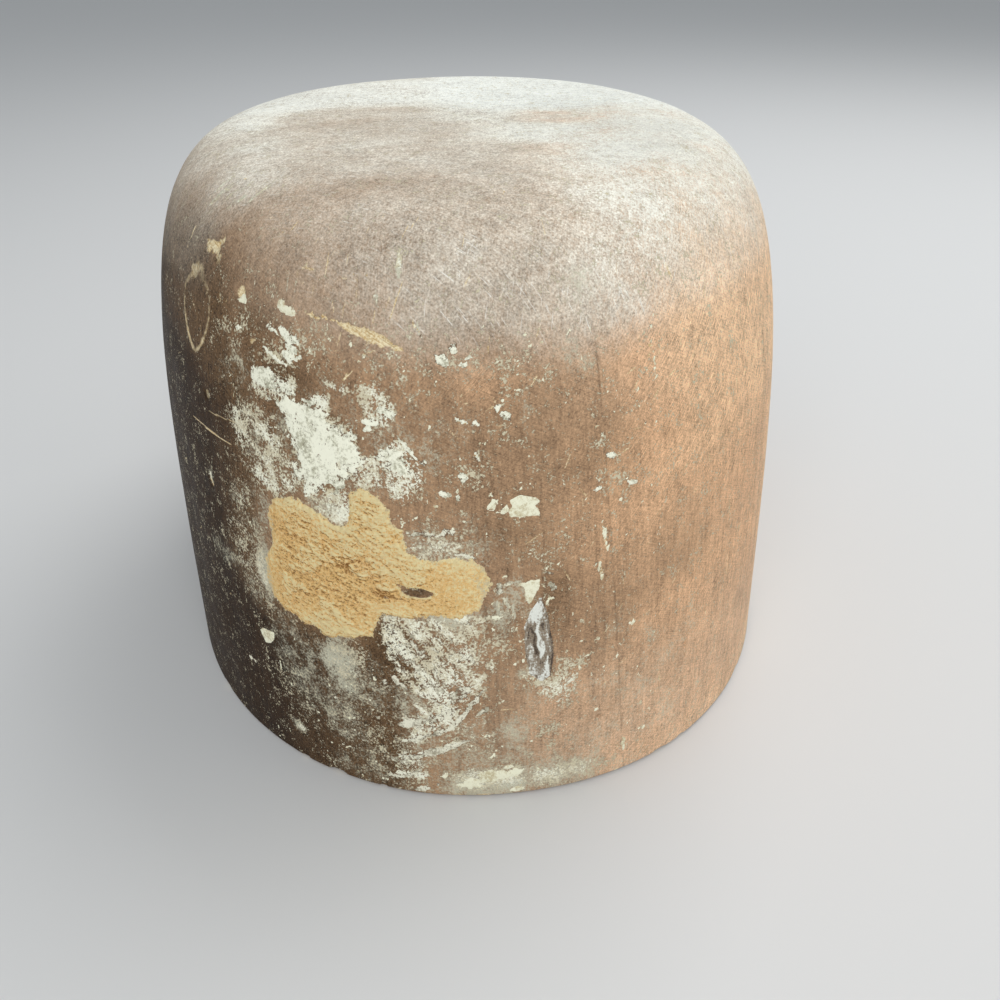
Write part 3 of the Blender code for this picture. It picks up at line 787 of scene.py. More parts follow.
def hairs_group():
    """Fine straight hairs all lying one way, from 0 to 1."""
    inputs = {"Vector": "Vector", "Turn": 0.0, "Length": 0.006, "Width": 0.0003}
    tree, given = new_group("fine_hairs", "ShaderNodeTree", inputs, {"Hairs": "Float"})
    turned = {"Vector": given["Vector"], "Angle": given["Turn"]}
    x, y, z = parts_of(flow_from(tree, "ShaderNodeVectorRotate", turned, rotation_type="Z_AXIS"))
    drawn = vector_of(x / given["Length"], y / given["Width"], z)
    return end_group(tree, Hairs=noise_of(drawn, 1.0, 2.0, 0.6))


def hairs_on(where, turn, length, width):
    inputs = {"Vector": where, "Turn": math.radians(turn), "Length": length, "Width": width}
    return flow_from(where.tree, "ShaderNodeGroup", inputs, node_tree=hairs)


def grains_group():
    """Ragged grains of several sizes, from about -0.5 to 0.5, which break up the edge of a coat."""
    tree, given = new_group("broken_edge", "ShaderNodeTree", {"Strength": 3.0}, {"Grains": "Float"})
    place = flow_from(tree, "ShaderNodeTexCoord", out="Object")
    coarse, small = noise_of(place, 330.0, 6.0, 0.70), noise_of(place, 1900.0, 3.0, 0.75)
    return end_group(tree, Grains=(centred(coarse, 0.76) + centred(small, 0.98)) * given["Strength"])


def broken(value, strength):
    """The value, with grains of this strength added."""
    return value + flow_from(value.tree, "ShaderNodeGroup", {"Strength": strength}, node_tree=grains)


def finish_group(name, inputs):
    """An empty group for a finish, what flows from its inputs, and the place on the piece."""
    tree, given = new_group(name, "ShaderNodeTree", inputs, FINISH)
    return tree, given, flow_from(tree, "ShaderNodeTexCoord", out="Object")


def plain_wood(on, grain, tone):
    """The wood's colour under all that covers it, with its grain, its sanding and its dirty pores."""
    stain, warm = on.stain + centred(grain.patchy, 0.7), on.warmth + centred(grain.broad, 0.9)
    colour = blend(rises(warm, 0.1, 1.0), MIDDLE_WOOD, WARM_WOOD)
    colour = blend(rises(warm, 0.9, 1.8), colour, PALE_WOOD)
    colour = blend(rises(stain, 0.1, 0.95), colour, STAINED_WOOD)
    colour = blend(rises(stain, 0.9, 1.8), colour, BLACKENED_AND_SHADED_WOOD)
    shade = tone + 1.0 + mixed(grain, bands=0.55, fibres=1.15, patchy=0.55, crossed=0.9)
    shade += (centred(grain.sanded, 1.35) + rises(grain.sanded, 0.56, 0.68) * 0.16) * on.warmth
    pores = mixed(grain, dust=1.5, fine=0.7)
    pores += rises(grain.grit, 0.62, 0.70) * 0.45 - rises(grain.grit, 0.38, 0.26) * 0.22
    return scaled(colour, shade + pores * (rises(stain, 0.2, 1.2) * 1.3 + 0.8))


def bloomed(colour, on, grain, place):
    """The dust on the crown, thin and cloudy, with the hairs that brushes and felt drew in it. Where it is
    thickest, at the back of the crown, it turns whiter, which is painted sheen.
    """
    brushed = [hairs_on(place, *hair) for hair, *_ in BRUSHED_HAIRS]
    lines = sum(centred(hair, gain) for hair, (_, gain, *_) in zip(brushed, BRUSHED_HAIRS))
    cloud = mixed(grain, patchy=0.5, drifts=1.3, fine=0.8, dust=1.6)
    dusted = lines * 0.45 + mixed(grain, dust=1.0, patchy=0.3, fine=0.7)
    # Painted sheen: where the bloom is thickest, its colour turns whiter.
    coat = blend(rises(on.bloom, 0.8, 1.3), BLOOM_COLOUR, WHITE_BLOOM_AND_SHEEN)
    colour = blend(on.bloom * (cloud + lines + 1.0), colour, scaled(coat, dusted + 1.0))
    gathered = rises(grain.drifts, 0.46, 0.60)
    for hair, (_, _, tint, strongest) in zip(brushed, BRUSHED_HAIRS):
        cut = rises(hair, 0.63, 0.70) * rises(on.bloom, 0.05, 0.5)
        colour = blend(cut * (gathered * (strongest * 0.8) + strongest * 0.2), colour, tint)
    return colour


def whitened(colour, on, grain, spotted):
    """The haze of old whitewash and its spatter."""
    chalked = broken(on.chalk, 2.0) + centred(grain.patchy, 0.9)
    colour = blend(rises(chalked, 0.22, 0.98) * rises(on.chalk, 0.0, 0.2), colour, CHALK_COLOUR)
    clean = grain.patchy + centred(grain.dust, 1.0) + on.speckled * 0.55
    return blend(spotted, colour, blend(rises(clean, 0.74, 1.08), DIRTY_WASH, WHITEWASH))


def bared(colour, on, grain):
    """The pale fibres where the surface is scratched or torn."""
    torn = mixed(grain, crossed=1.6, dust=1.6) + 0.5
    fibre = blend(rises(torn, 0.2, 0.8), BARE_WOOD, BARE_FIBRE)
    return blend(rises(on.bare + centred(grain.fine, 0.6), 0.35, 0.75), colour, fibre)


def joint_line(on, grain, place):
    """1 along the fine line of the joint, where no bloom hides it."""
    x, _, z = parts_of(place)
    away = abs((z - HEIGHT / 2) * JOINT_LEAN + x - JOINT_X) + centred(grain.fine, 0.0006)
    line = (1.0 - rises(away, 0.0, 0.0004)) * rises(grain.patchy, 0.35, 0.65)
    return line * (1.0 - rises(on.bloom, 0.1, 0.5))


def worn_wood_group():
    """The colour, roughness and height of the worn wood, from what covers it and its upright grain."""
    tree, given, place = finish_group("worn_wood", {"Tone": 0.0, "Grain Shift": 0.0})
    on = SimpleNamespace(**{name: cover_on(tree, name) for name in BASE_COVER})
    grain = SimpleNamespace(**{name: noise_of(place, *noise) for name, noise in WOOD_NOISES.items()})
    shifted = vector_maths("ADD", place, vector_of(given["Grain Shift"], 0.0, 0.0))
    grain.bands = noise_of(vector_maths("MULTIPLY", shifted, BANDS_DRAWN_OUT), *BANDS)
    grain.fibres = noise_of(vector_maths("MULTIPLY", shifted, FIBRES_DRAWN_OUT), *FIBRES)
    on_sheet = flow_from(tree, "ShaderNodeUVMap", uv_map="unrolled")
    grain.sanded, grain.crossed = hairs_on(on_sheet, *SANDED_HAIR), hairs_on(on_sheet, *CROSSED_HAIR)
    spotted = rises(broken(on.speckled, 3.2), 0.53, 0.575)

    colour = bloomed(plain_wood(on, grain, given["Tone"]), on, grain, place)
    colour = bared(whitened(colour, on, grain, spotted), on, grain)
    colour = scaled(colour, joint_line(on, grain, place) * -0.28 + 1.0)
    height = mixed(grain, fibres=0.7, bands=0.4, fine=0.5, crossed=0.3)
    height += centred(grain.sanded, 0.8) * on.warmth + spotted * 0.35
    rough = on.bloom * 0.25 + 0.52 + spotted * 0.25 + centred(grain.patchy, 0.3)
    return end_group(tree, Colour=colour, Roughness=rough, Height=height)


def finish_from(name, group, bump, shine=0.1, **values):
    """A material whose colour, roughness and height come from a group with these values."""
    material = bpy.data.materials.new(name)
    material.use_nodes = True
    tree = material.node_tree
    shader = tree.nodes["Principled BSDF"].inputs
    values = {label.replace("_", " "): value for label, value in values.items()}
    colour = flow_from(tree, "ShaderNodeGroup", values, out="Colour", node_tree=group)
    raised = flow_from(tree, "ShaderNodeBump", {"Distance": bump, "Height": colour.beside("Height")})
    shader["Specular IOR Level"].default_value = shine
    feed(shader["Base Color"], colour)
    feed(shader["Roughness"], colour.beside("Roughness"))
    feed(shader["Normal"], raised)
    return material


def add_piece(name, mesh, *nodes, slot=None, on="root"):
    """A finished piece, standing for these nodes of the frame."""
    piece = placed(name, mesh)
    if nodes:
        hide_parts(*nodes)
    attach(piece, on)


hairs, grains = hairs_group(), grains_group()
wood = worn_wood_group()
leaned = spots[:, 0] + (spots[:, 2] - HEIGHT / 2) * JOINT_LEAN


def mark_points(mesh, marks):
    """Gives the points of a mesh their values, by name, for the materials and trees to read."""
    for name, values in marks.items():
        mesh.attributes.new(name, "FLOAT", "POINT").data.foreach_set("value", values.astype(np.float32))


def split_plank(left, right):
    """The part of the carved form between two leaning joints, closed."""
    kept = []
    for parts in faces.values():
        parts = np.concatenate(parts)
        kept += parts[(leaned[parts].max(1) > left) & (leaned[parts].min(1) < right)].tolist()
    used, number = np.unique([point for face in kept for point in face], return_inverse=True)
    sizes = np.array([len(face) for face in kept])
    mesh = bpy.data.meshes.new("plank")
    parts = np.split(number, np.cumsum(sizes)[:-1])
    mesh.from_pydata(spots[used].tolist(), [], [part.tolist() for part in parts])
    mark_points(mesh, {name: value[used] for name, value in covers.items()})
    corners = unrolled[used][number]
    first = corners[np.repeat(np.cumsum(sizes) - sizes, sizes), 0]
    corners[:, 0] -= np.round((corners[:, 0] - first) / GIRTH) * GIRTH
    mesh.uv_layers.new(name="unrolled").data.foreach_set("uv", corners.astype(np.float32).ravel())
    bm = bmesh.new()
    bm.from_mesh(mesh)
    tilt = math.atan(JOINT_LEAN)
    for side, facing in ((left, -1.0), (right, 1.0)):
        if abs(side) < WIDTH:
            bmesh.ops.bisect_plane(
                bm, geom=bm.verts[:] + bm.edges[:] + bm.faces[:], dist=1e-7,
                plane_co=(side, 0.0, HEIGHT / 2),
                plane_no=(facing * math.cos(tilt), 0.0, facing * math.sin(tilt)), clear_outer=True,
            )
            bmesh.ops.holes_fill(bm, edges=[edge for edge in bm.edges if edge.is_boundary], sides=0)
    bmesh.ops.triangulate(bm, faces=[face for face in bm.faces if len(face.verts) > 5])
    bmesh.ops.recalc_face_normals(bm, faces=bm.faces)
    bm.to_mesh(mesh)
    bm.free()
    mesh.shade_smooth()
    mesh.set_sharp_from_angle(angle=PLANK_SHARP_FROM)
    return mesh


# The planks from left to right, each with its own tone and its own piece of the grain.
PLANKS = {
    "plank_left_2": (-0.10, 0.31), "plank_left_1": (0.02, 0.17), "plank_middle": (-0.03, 0.0),
    "plank_right_1": (0.03, 0.43), "plank_right_2": (-0.04, 0.59),
}
joints = [JOINT_X + PLANK_THICKNESS * place for place in (-2, -1, 0, 1)]
ends = [-1.0, *joints, 1.0]
for (node, (tone, shift)), left, right in zip(PLANKS.items(), ends, ends[1:]):
    plank = split_plank(left + JOINT_GAP / 2, right - JOINT_GAP / 2)
    plank.name = f"{node}_worn"
    plank.materials.append(finish_from(f"{node}_wood", wood, WOOD_BUMP, Tone=tone, Grain_Shift=shift))
    add_piece(f"{node}_worn", plank, node, slot="worn_wood")

# The whitewash. Plaster and limewash dripped on the front left and dried in a thin hard crust with
# ragged edges, full of small holes. It is drawn on a finer sheet that rises out of the wood.
CRUST_STEP, CRUST_SINK = 0.27, 0.15
CRUST_SHARP_FROM, CRUST_BUMP = math.radians(60), 0.00015
PLASTER_DABS = [
    (-60, 97.4, 5.0, 2.0, 0.72, -4), (-54.5, 96.6, 4.0, 1.4, 0.7, -8), (-50, 92.4, 5.2, 1.9, 0.92, -10),
    (-47, 88, 6.2, 5.0, 1.15, -30), (-44.5, 91.8, 4.5, 2.2, 1.0), (-45.5, 83.5, 5.0, 5.0, 1.15, -20),
    (-49.5, 80.5, 3.4, 2.6, 0.8), (-43.5, 79, 5, 2.6, 0.74), (-40.5, 86, 3.2, 4.8, 0.88),
    (-28, 95.0, 2.4, 0.9, 0.9, -5), (-31.5, 93, 2.2, 0.8, 0.78), (-32.5, 91.6, 1.4, 0.6, 0.8),
    (-46.5, 94.9, 1.6, 0.6, 0.8), (-27, 86.4, 4.6, 1.5, 0.72, -6), (-23.2, 88.2, 3.8, 0.5, 0.95, -44),
    (-26, 84.2, 4.6, 0.9, 0.72, -6), (-53.2, 106.4, 2.6, 0.8, 0.85, -28),
    (-51.8, 104.2, 1.8, 0.9, 0.8, -20), (-57.4, 106.9, 2.6, 0.4, 0.95, -14),
    (-52.8, 102.6, 1.9, 0.8, 0.75, -10), (-57.0, 102.0, 3.2, 0.35, 1.0, -22),
    (-54.4, 100.9, 2.2, 0.3, 0.9, -12), (-50.6, 105.9, 1.3, 0.5, 0.8, -30),
    (-49.8, 102.4, 1.2, 0.4, 0.8, 20), (-68.6, 105.0, 1.6, 0.4, 0.7, -4), (-15.6, 105.0, 1.5, 1.2, 1.1),
    (-12.9, 107.2, 1.1, 1.1, 0.8, 60), (-11.0, 104.0, 0.8, 0.4, 0.9), (-9.9, 105.2, 0.8, 0.3, 0.8, 30),
    (-2.7, 94.8, 1.1, 0.8, 1.0, -30), (-3.9, 96.4, 0.8, 0.5, 0.8, 40), (-8.7, 93.4, 0.8, 0.5, 1.1),
    (-11.6, 93.8, 1.2, 0.3, 0.8, -6), (-15.8, 79.2, 1.6, 0.5, 0.9, -8), (-13.0, 78.4, 0.6, 1.1, 0.9, 20),
    (-11.8, 82.8, 1.2, 0.9, 0.72), (-20.5, 85.6, 1.0, 0.6, 0.9), (-8.8, 86.8, 0.9, 0.35, 1.0, -60),
    (16.6, 77.6, 0.9, 0.5, 0.9), (20.0, 84.2, 1.2, 0.7, 0.72), (25.4, 77.4, 1.4, 0.5, 0.7, -20),
    (-3.8, 65.4, 1.2, 0.4, 0.7),
]
LIMEWASH_DABS = [
    (-26.5, 22.0, 3.6, 1.3, 0.86, 16), (-19, 24.6, 5.0, 1.2, 0.8, 30), (-14.6, 30.6, 4.6, 1.6, 0.74, 40),
    (-11.4, 28.4, 4.4, 0.6, 1.0, 56), (-15.2, 23.2, 3.6, 0.8, 1.0, 46), (-20.2, 19.5, 3.4, 0.7, 0.95, 22),
    (-25.6, 17.3, 3.4, 0.8, 0.9, 20), (-28.6, 16.0, 1.6, 0.5, 0.85, 22), (-31, 10.2, 2.4, 0.5, 0.8, 4),
    (-26.4, 11.8, 3.4, 0.7, 0.95, 14), (-21.4, 13.8, 3.2, 1.0, 1.0, 22), (-17, 15.8, 3.0, 0.8, 0.95, 24),
    (-13.6, 17.4, 1.4, 0.4, 0.9, 32), (-29.6, 33.4, 0.8, 1.6, 1.1, 28), (-28.0, 32.2, 1.4, 0.5, 0.9, -30),
    (-23.6, 42.4, 2.8, 0.7, 0.95, -62), (-24.6, 38.0, 2.8, 0.6, 0.7, -60),
    (-29.6, 50.2, 2.4, 0.35, 0.9, 10), (-28.8, 48.3, 1.8, 0.3, 0.85, -6), (-31.4, 49.2, 0.4, 1.0, 0.8),
    (-31.0, 5.0, 3.0, 0.6, 1.0, 4), (-26.8, 6.6, 2.8, 0.5, 0.8, 28), (-24.6, 2.1, 2.2, 0.9, 1.1, 14),
    (-8.9, 25.9, 2.1, 0.6, 1.1, 34), (-77.0, 22.1, 0.9, 0.7, 1.1), (-75.2, 22.0, 0.5, 0.4, 1.1),
    (-46.3, 24.5, 0.9, 0.5, 1.0, 10), (-39.5, 13.6, 0.7, 0.3, 1.1), (-38.1, 13.5, 0.4, 0.3, 1.0),
    (-35.2, 21.8, 0.5, 0.4, 1.0), (-32.6, 32.6, 0.4, 0.6, 1.0), (-28.7, 12.6, 0.5, 0.4, 1.0),
    (-20.6, 3.6, 0.5, 0.5, 0.9), (-59.2, 9.8, 1.2, 0.9, 0.7), (-84.4, 67.8, 0.5, 1.4, 0.8, 8),
    (-21, 70.5, 5, 0.5, 0.9), (-15.6, 71.2, 1.6, 0.7, 0.9, 20), (-11.4, 65.8, 2.6, 0.6, 0.75, -14),
    (6.0, 57.4, 0.7, 1.3, 0.9, 20), (5.4, 60.4, 1.0, 0.5, 0.7), (-4.8, 57.8, 1.0, 1.6, 0.7, 20),
]
CREAM_DABS = [
    (-4.8, 76.2, 2.6, 1.7, 0.6, 6), (-53.4, 110.6, 2.8, 0.55, 1.2, -4), (-67.4, 110.4, 1.6, 0.5, 1.0, -4),
    (-6.2, 6.9, 4.6, 1.7, 1.0, 4), (-10.6, 5.2, 3.0, 0.8, 0.9, 6), (-2.6, 7.2, 2.2, 1.2, 0.75),
    (-12.6, 3.8, 3.6, 0.7, 0.72), (-4.5, 9.0, 2.4, 0.6, 0.7), (-1.8, 1.6, 1.6, 0.7, 0.7),
    (8.4, 33.8, 0.7, 2.6, 0.55, 10), (15.2, 38.2, 1.3, 0.3, 0.75, 30), (2.6, 34.0, 1.4, 0.6, 0.6),
    (13.0, 42.4, 0.3, 0.3, 1.0), (11.0, 49.9, 0.35, 0.35, 1.0), (17.4, 21.8, 0.6, 0.3, 0.8),
    (18.6, 66.5, 0.45, 4.0, 0.62, 8), (17.6, 58.8, 0.45, 2.4, 0.62, 6), (25.8, 8.6, 0.4, 2.2, 0.66, 8),
    (26.4, 43.4, 0.9, 0.8, 0.55), (31.2, 106.8, 1.2, 0.4, 0.6), (-7.2, 13.0, 1.3, 0.4, 0.9, 46),
    (-5.2, 50.6, 1.6, 0.7, 0.55),
]
CREAM_FLAKES = [
    [(-2.0, 74.1), (-2.6, 75.4), (-1.8, 76.5), (-2.3, 77.8), (-0.4, 78.6), (1.4, 78.3), (3.2, 77.5),
     (3.6, 76.8), (2.6, 76.1), (3.3, 75.2), (3.5, 74.0), (1.0, 73.9)],
    [(1.2, 53.6), (2.4, 55.6), (3.4, 57.6), (3.4, 59.2), (1.6, 59.4), (-0.8, 58.6), (0.4, 57.6),
     (0.2, 55.6)],
    [(-70.7, 33.7), (-69.3, 34.8), (-65.0, 35.4), (-65.3, 33.4), (-66.5, 31.8), (-68.7, 30.7)],
]
HOLES = [
    (-41.0, 92.3, 1.5, 0.9, 1), (-57.5, 91.9, 1.9, 1.0, 1, -8), (-51.6, 82.6, 1.7, 0.6, 1, -18),
    (-50.7, 81.6, 1.2, 0.3, 1, -30), (-42.6, 78.0, 1.5, 0.8, 1), (-39.8, 83.4, 0.6, 0.7, 1),
    (-20.5, 26.8, 2.4, 0.7, 1, 16), (-37.8, 90.9, 0.8, 0.5, 1),
]
SMEARS = [
    smear for smear in scuffs(-32, 16, -5, 51, 120, 8, (-50, -40, -60, 30), (0.4, 1.3))
    if within(np.array(smear[0:3:2]), np.array(smear[1:4:2]), BRUSHED[1][-1]).min() > 0.3
]


def blanket(name, box, step, thickness, material, shade=None):
    """A closed shell over the part of the sheet where the thickness, in millimetres, is above nothing."""
    left, low, right, top = box
    far, high = np.meshgrid(np.arange(left, right, step), np.arange(low, top, step))
    worn, thick = relief(far, high) / MM, np.clip(thickness(far, high), -0.6 * CRUST_SINK, None)
    lifted = thick > 0
    cells = lifted[:-1, :-1] | lifted[1:, :-1] | lifted[:-1, 1:] | lifted[1:, 1:]
    cells[0], cells[-1], cells[:, 0], cells[:, -1] = False, False, False, False
    one, other, third, fourth = cells[:-1, :-1], cells[1:, 1:], cells[:-1, 1:], cells[1:, :-1]
    for filled in (third, one) * 3:
        filled |= (one & other & ~third & ~fourth) | (third & fourth & ~one & ~other)
    padded = np.pad(cells, 1)
    corner = padded[:-1, :-1] | padded[1:, :-1] | padded[:-1, 1:] | padded[1:, 1:]
    count = corner.sum()
    number = np.full(far.shape, -1)
    number[corner] = np.arange(count)
    upper = np.stack([far[corner], high[corner], (worn + thick)[corner]], 1)
    lower = np.stack([far[corner], high[corner], worn[corner] - CRUST_SINK], 1)
    y, x = np.nonzero(cells)
    top_faces = np.stack([number[y, x], number[y, x + 1], number[y + 1, x + 1], number[y + 1, x]], 1)
    shell_faces = [top_faces, top_faces[:, ::-1] + count]
    for dy, dx, a, b in (
        (-1, 0, (0, 0), (0, 1)), (1, 0, (1, 1), (1, 0)), (0, -1, (1, 0), (0, 0)), (0, 1, (0, 1), (1, 1)),
    ):
        open_side = ~padded[y + 1 + dy, x + 1 + dx]
        start, end = (number[y + j, x + i][open_side] for j, i in (a, b))
        shell_faces.append(np.stack([start, start + count, end + count, end], 1))
    mesh = bpy.data.meshes.new(name)
    points = np.concatenate([upper, lower]) * MM
    mesh.from_pydata(points.tolist(), [], np.concatenate(shell_faces).tolist())
    marks = {"thickness": np.tile(thick[corner], 2), "upper": np.repeat([1.0, 0.0], count)}
    if shade:
        marks["shade"] = np.tile(shade(far, high)[corner], 2)
    mark_points(mesh, marks)
    shell = grown(mesh, wrap_tree, Material=material)
    shell.name = name
    shell.shade_smooth()
    shell.set_sharp_from_angle(angle=CRUST_SHARP_FROM)
    return shell


def plaster_group():
    """Dry whitewash, clouded and specked with dirt, with pores down to the wood."""
    tree, given, place = finish_group("plaster", {
        "Clean": (0.99, 0.98, 0.80, 1.0), "Dirty": (0.50, 0.48, 0.35, 1.0),
        "Beneath": (0.24, 0.16, 0.10, 1.0), "Dirt": 0.5, "Hold": 0.0,
    })
    patchy, fine = noise_of(place, 190.0, 4.0, 0.6), noise_of(place, 1500.0, 4.0, 0.7)
    dirt = rises(given["Dirt"] + centred(patchy, 4.2) + centred(fine, 4.4), 0.0, 1.2)
    left = rises(broken(cover_on(tree, "thickness") * 3.5 + given["Hold"], 3.6), -0.44, -0.38)
    colour = blend(dirt, given["Clean"], given["Dirty"])
    colour = blend(left, scaled(given["Beneath"], fine + 0.5), colour)
    height = centred(fine, 1.0) + centred(patchy, 0.5) + left
    return end_group(tree, Colour=colour, Roughness=centred(patchy, 0.2) + 0.82, Height=height)


def crust_cover(cover, holes):
    """A cover with holes in it; what lies well outside it is put out of reach of its ragged edge."""
    cover = cover - 1.2 * holes
    return cover - 0.5 * (cover <= 0)


def plaster_thickness(far, high):
    ragged = 0.6 * blotches(far, high, 2.6, 11, 5, 0.72)
    ragged += 0.4 * blotches(far * 0.8 + high * 0.5, high * 1.5, 1.4, 31, 4, 0.75)
    torn = stirred(far, high, 1.8, 0.9, 41)
    cover = np.maximum(dabbed(*torn, PLASTER_DABS), patched(*torn, [(0.98, 4.0, MAIN_SPLASH)]))
    cover = crust_cover(cover, dabbed(*stirred(far, high, 1.4, 0.5, 42), HOLES))
    thickest = 0.08 + 0.22 * blotches(far, high, 2.2, 51, 5, 0.7)
    return np.minimum((cover + (ragged - 0.5) * 2.1 - 0.42) * 0.45, thickest)


def limewash_thickness(far, high):
    ragged = 0.55 * blotches(far, high, 2.2, 12, 5, 0.72)
    ragged += 0.45 * blotches(far * 0.7 - high * 0.7, (far + high) * 1.8, 2.0, 32, 4, 0.75)
    torn = stirred(far, high, 1.8, 0.8, 43)
    cover = np.maximum(dabbed(*torn, LIMEWASH_DABS), scored(*torn, SMEARS))
    cover = crust_cover(cover, dabbed(far, high, HOLES))
    thickest = 0.06 + 0.18 * blotches(far, high, 2.4, 52, 5, 0.7)
    return np.minimum((cover + (ragged - 0.5) * 2.1 - 0.45) * 0.4, thickest)


def cream_thickness(far, high):
    ragged = blotches(far, high, 1.6, 13, 4, 0.75) - 0.5
    flakes = [within(far, high, flake) * 1.2 + ragged * 0.8 for flake in CREAM_FLAKES]
    drops = dabbed(*stirred(far, high, 1.4, 0.7, 44), CREAM_DABS) + ragged * 2.0 - 0.48
    return np.minimum(np.maximum.reduce([drops] + flakes) * 0.5, 0.12 + 0.10 * blotches(far, high, 2.0, 53))


plaster = plaster_group()
LIME_LOOK = {"Clean": (0.88, 0.85, 0.68, 1.0), "Dirty": (0.44, 0.40, 0.29, 1.0), "Dirt": 0.42, "Hold": -0.50}
CREAM_LOOK = {"Clean": (0.93, 0.91, 0.70, 1.0), "Dirty": (0.62, 0.54, 0.34, 1.0), "Dirt": 0.2, "Hold": 0.0}
CRUSTS = [
    ("plaster_crust", (-78, 70, 32, 112), plaster_thickness, {"Dirt": 0.24, "Hold": -0.36}),
    ("limewash_smears", (-88, 1, 10, 76), limewash_thickness, LIME_LOOK),
    ("cream_flakes", (-72, 1, 34, 113), cream_thickness, CREAM_LOOK),
]
for name, box, thickness, look in CRUSTS:
    dry = finish_from(f"{name}_dry", plaster, CRUST_BUMP, **look)
    add_piece(name, blanket(name, box, CRUST_STEP, thickness, dry))

# The scrap of brown paper. It is what is left of a label pasted on the wood: a soft fibrous sheet,
# torn through in places and thinner where its top layer has come away.
PAPER_STEP, PAPER_BUMP, PAPER_SHINE = 0.2, 0.0003, 0.05
# The paper's dark colour also serves as the painted shade in its hollows.
PAPER_COLOURS = {
    "Dark": (0.38, 0.19, 0.060, 1.0), "Middle": (0.94, 0.62, 0.255, 1.0), "Pale": (0.99, 0.83, 0.46, 1.0),
}
PAPER_WORN_THROUGH = (0.80, 0.66, 0.40)
PAPER_OUTLINE = [
    (-61, 62), (-61.2, 68), (-59.5, 71.5), (-57, 73.2), (-52.5, 74), (-49.5, 73.3), (-46.5, 71.8),
    (-43.5, 70.3), (-40.5, 70.2), (-38.6, 71.5), (-37.8, 75), (-37.6, 77.6), (-34.5, 79), (-31, 78.3),
    (-29, 76), (-28.2, 72.5), (-25.8, 71.2), (-25, 66), (-21.5, 64.5), (-16, 65.5), (-10.5, 65.3),
    (-8, 63.5), (-6.6, 60), (-7.2, 56), (-9.5, 53), (-14, 51.2), (-20, 51.5), (-24.5, 50), (-27.5, 51),
    (-32, 50.8), (-33.3, 47.5), (-34.5, 44.3), (-38, 43.4), (-42, 43), (-46, 41.4), (-50, 42.6),
    (-55, 43.1), (-59.5, 43.9), (-63.2, 45.6), (-64.6, 50), (-64.2, 56),
]
PAPER_TEARS = [
    (-23.2, 57.0, 3.8, 1.2, 1.0, -4), (-26.4, 58.0, 1.4, 0.5, 0.9, -20), (-30.4, 55.0, 0.8, 0.4, 0.6),
]
PAPER_THINNED = [
    (-12, 58, 8, 8, 0.8), (-20, 54, 5, 3, 0.6), (-30, 47, 4, 4, 0.5), (-62, 48, 3, 5, 0.4),
    (-48, 70, 5, 2, 0.3),
]
PAPER_FADING = [
    (-64, 50, 5, 12, 1), (-60, 66, 4, 8, 0.9), (-9, 60, 6, 9, 1), (-16, 64, 6, 3, 0.8),
    (-58, 43, 5, 3, 0.8), (-18, 52, 6, 3, 0.7),
]
PAPER_PALE = [
    (-25, 60.5, 7, 3, 0.22), (-33, 76, 5, 3, 0.12), (-12, 59, 8, 9, 0.66), (-28, 53, 6, 2, 0.3),
    (-48, 44, 12, 2.5, 0.3), (-63, 52, 3, 12, 0.4),
]
# The thin dab just under the top lobe's rim, at (-34, 76.6), is painted shade; the others are browned paper.
PAPER_BROWNED_AND_SHADED = [
    (-40, 61.8, 2.6, 1.4, 0.9, 10), (-38.4, 60.6, 1.4, 0.8, 0.6, 10), (-30.8, 55.2, 2.4, 1.4, 0.9, -10),
    (-34, 76.6, 3, 0.8, 0.7, -20), (-50, 60, 10, 9, 0.1), (-14, 53.5, 5, 2, 0.3),
]


def creases(far, high, size, seed, octaves, fade, sharpness):
    """Fine winding ridges, 1 along their crests."""
    return np.clip(1 - np.abs(blotches(far, high, size, seed, octaves, fade) - 0.5) * sharpness, 0, 1)


def paper_thickness(far, high):
    frayed, tufts = blotches(far, high, 3.0, 71, 5, 0.75), blotches(far, high, 0.9, 77, 3, 0.7)
    inside = within(far, high, PAPER_OUTLINE) + (frayed - 0.5) * 2.8 + (tufts - 0.5) * 1.2
    inside = np.minimum(inside, (0.6 - dabbed(far, high, PAPER_TEARS)) * 2.5 + (frayed - 0.5) * 2)
    ridges = creases(far * 0.5 + high * 0.2, high * 1.5 + far * 0.3, 2.6, 72, 5, 0.62, 7)
    creased = creases(far * 0.5 - high * 0.35, far * 0.35 + high, 1.2, 75, 4, 0.7, 8)
    wool = creases(far, high * 1.2, 0.9, 76, 3, 0.7, 5)
    thinned = dabbed(far, high, PAPER_THINNED, soft=True)
    layer = eased(blotches(far, high * 1.3, 9.0, 73, 4) - 0.35 * thinned, 0.40, 0.46)
    rim = eased(inside, 2.2, 0.3) * eased(blotches(far, high, 4.0, 74, 3), 0.42, 0.6)
    raised = (0.30 * ridges + 0.22 * creased + 0.10 * wool) * (0.4 + 0.6 * layer) + 0.18 * rim
    fading = np.clip(dabbed(far, high, PAPER_FADING, soft=True), 0, 1)
    return np.minimum(inside * (0.5 - 0.47 * fading), (0.14 + 0.12 * layer + raised) * (1 - 0.75 * thinned))


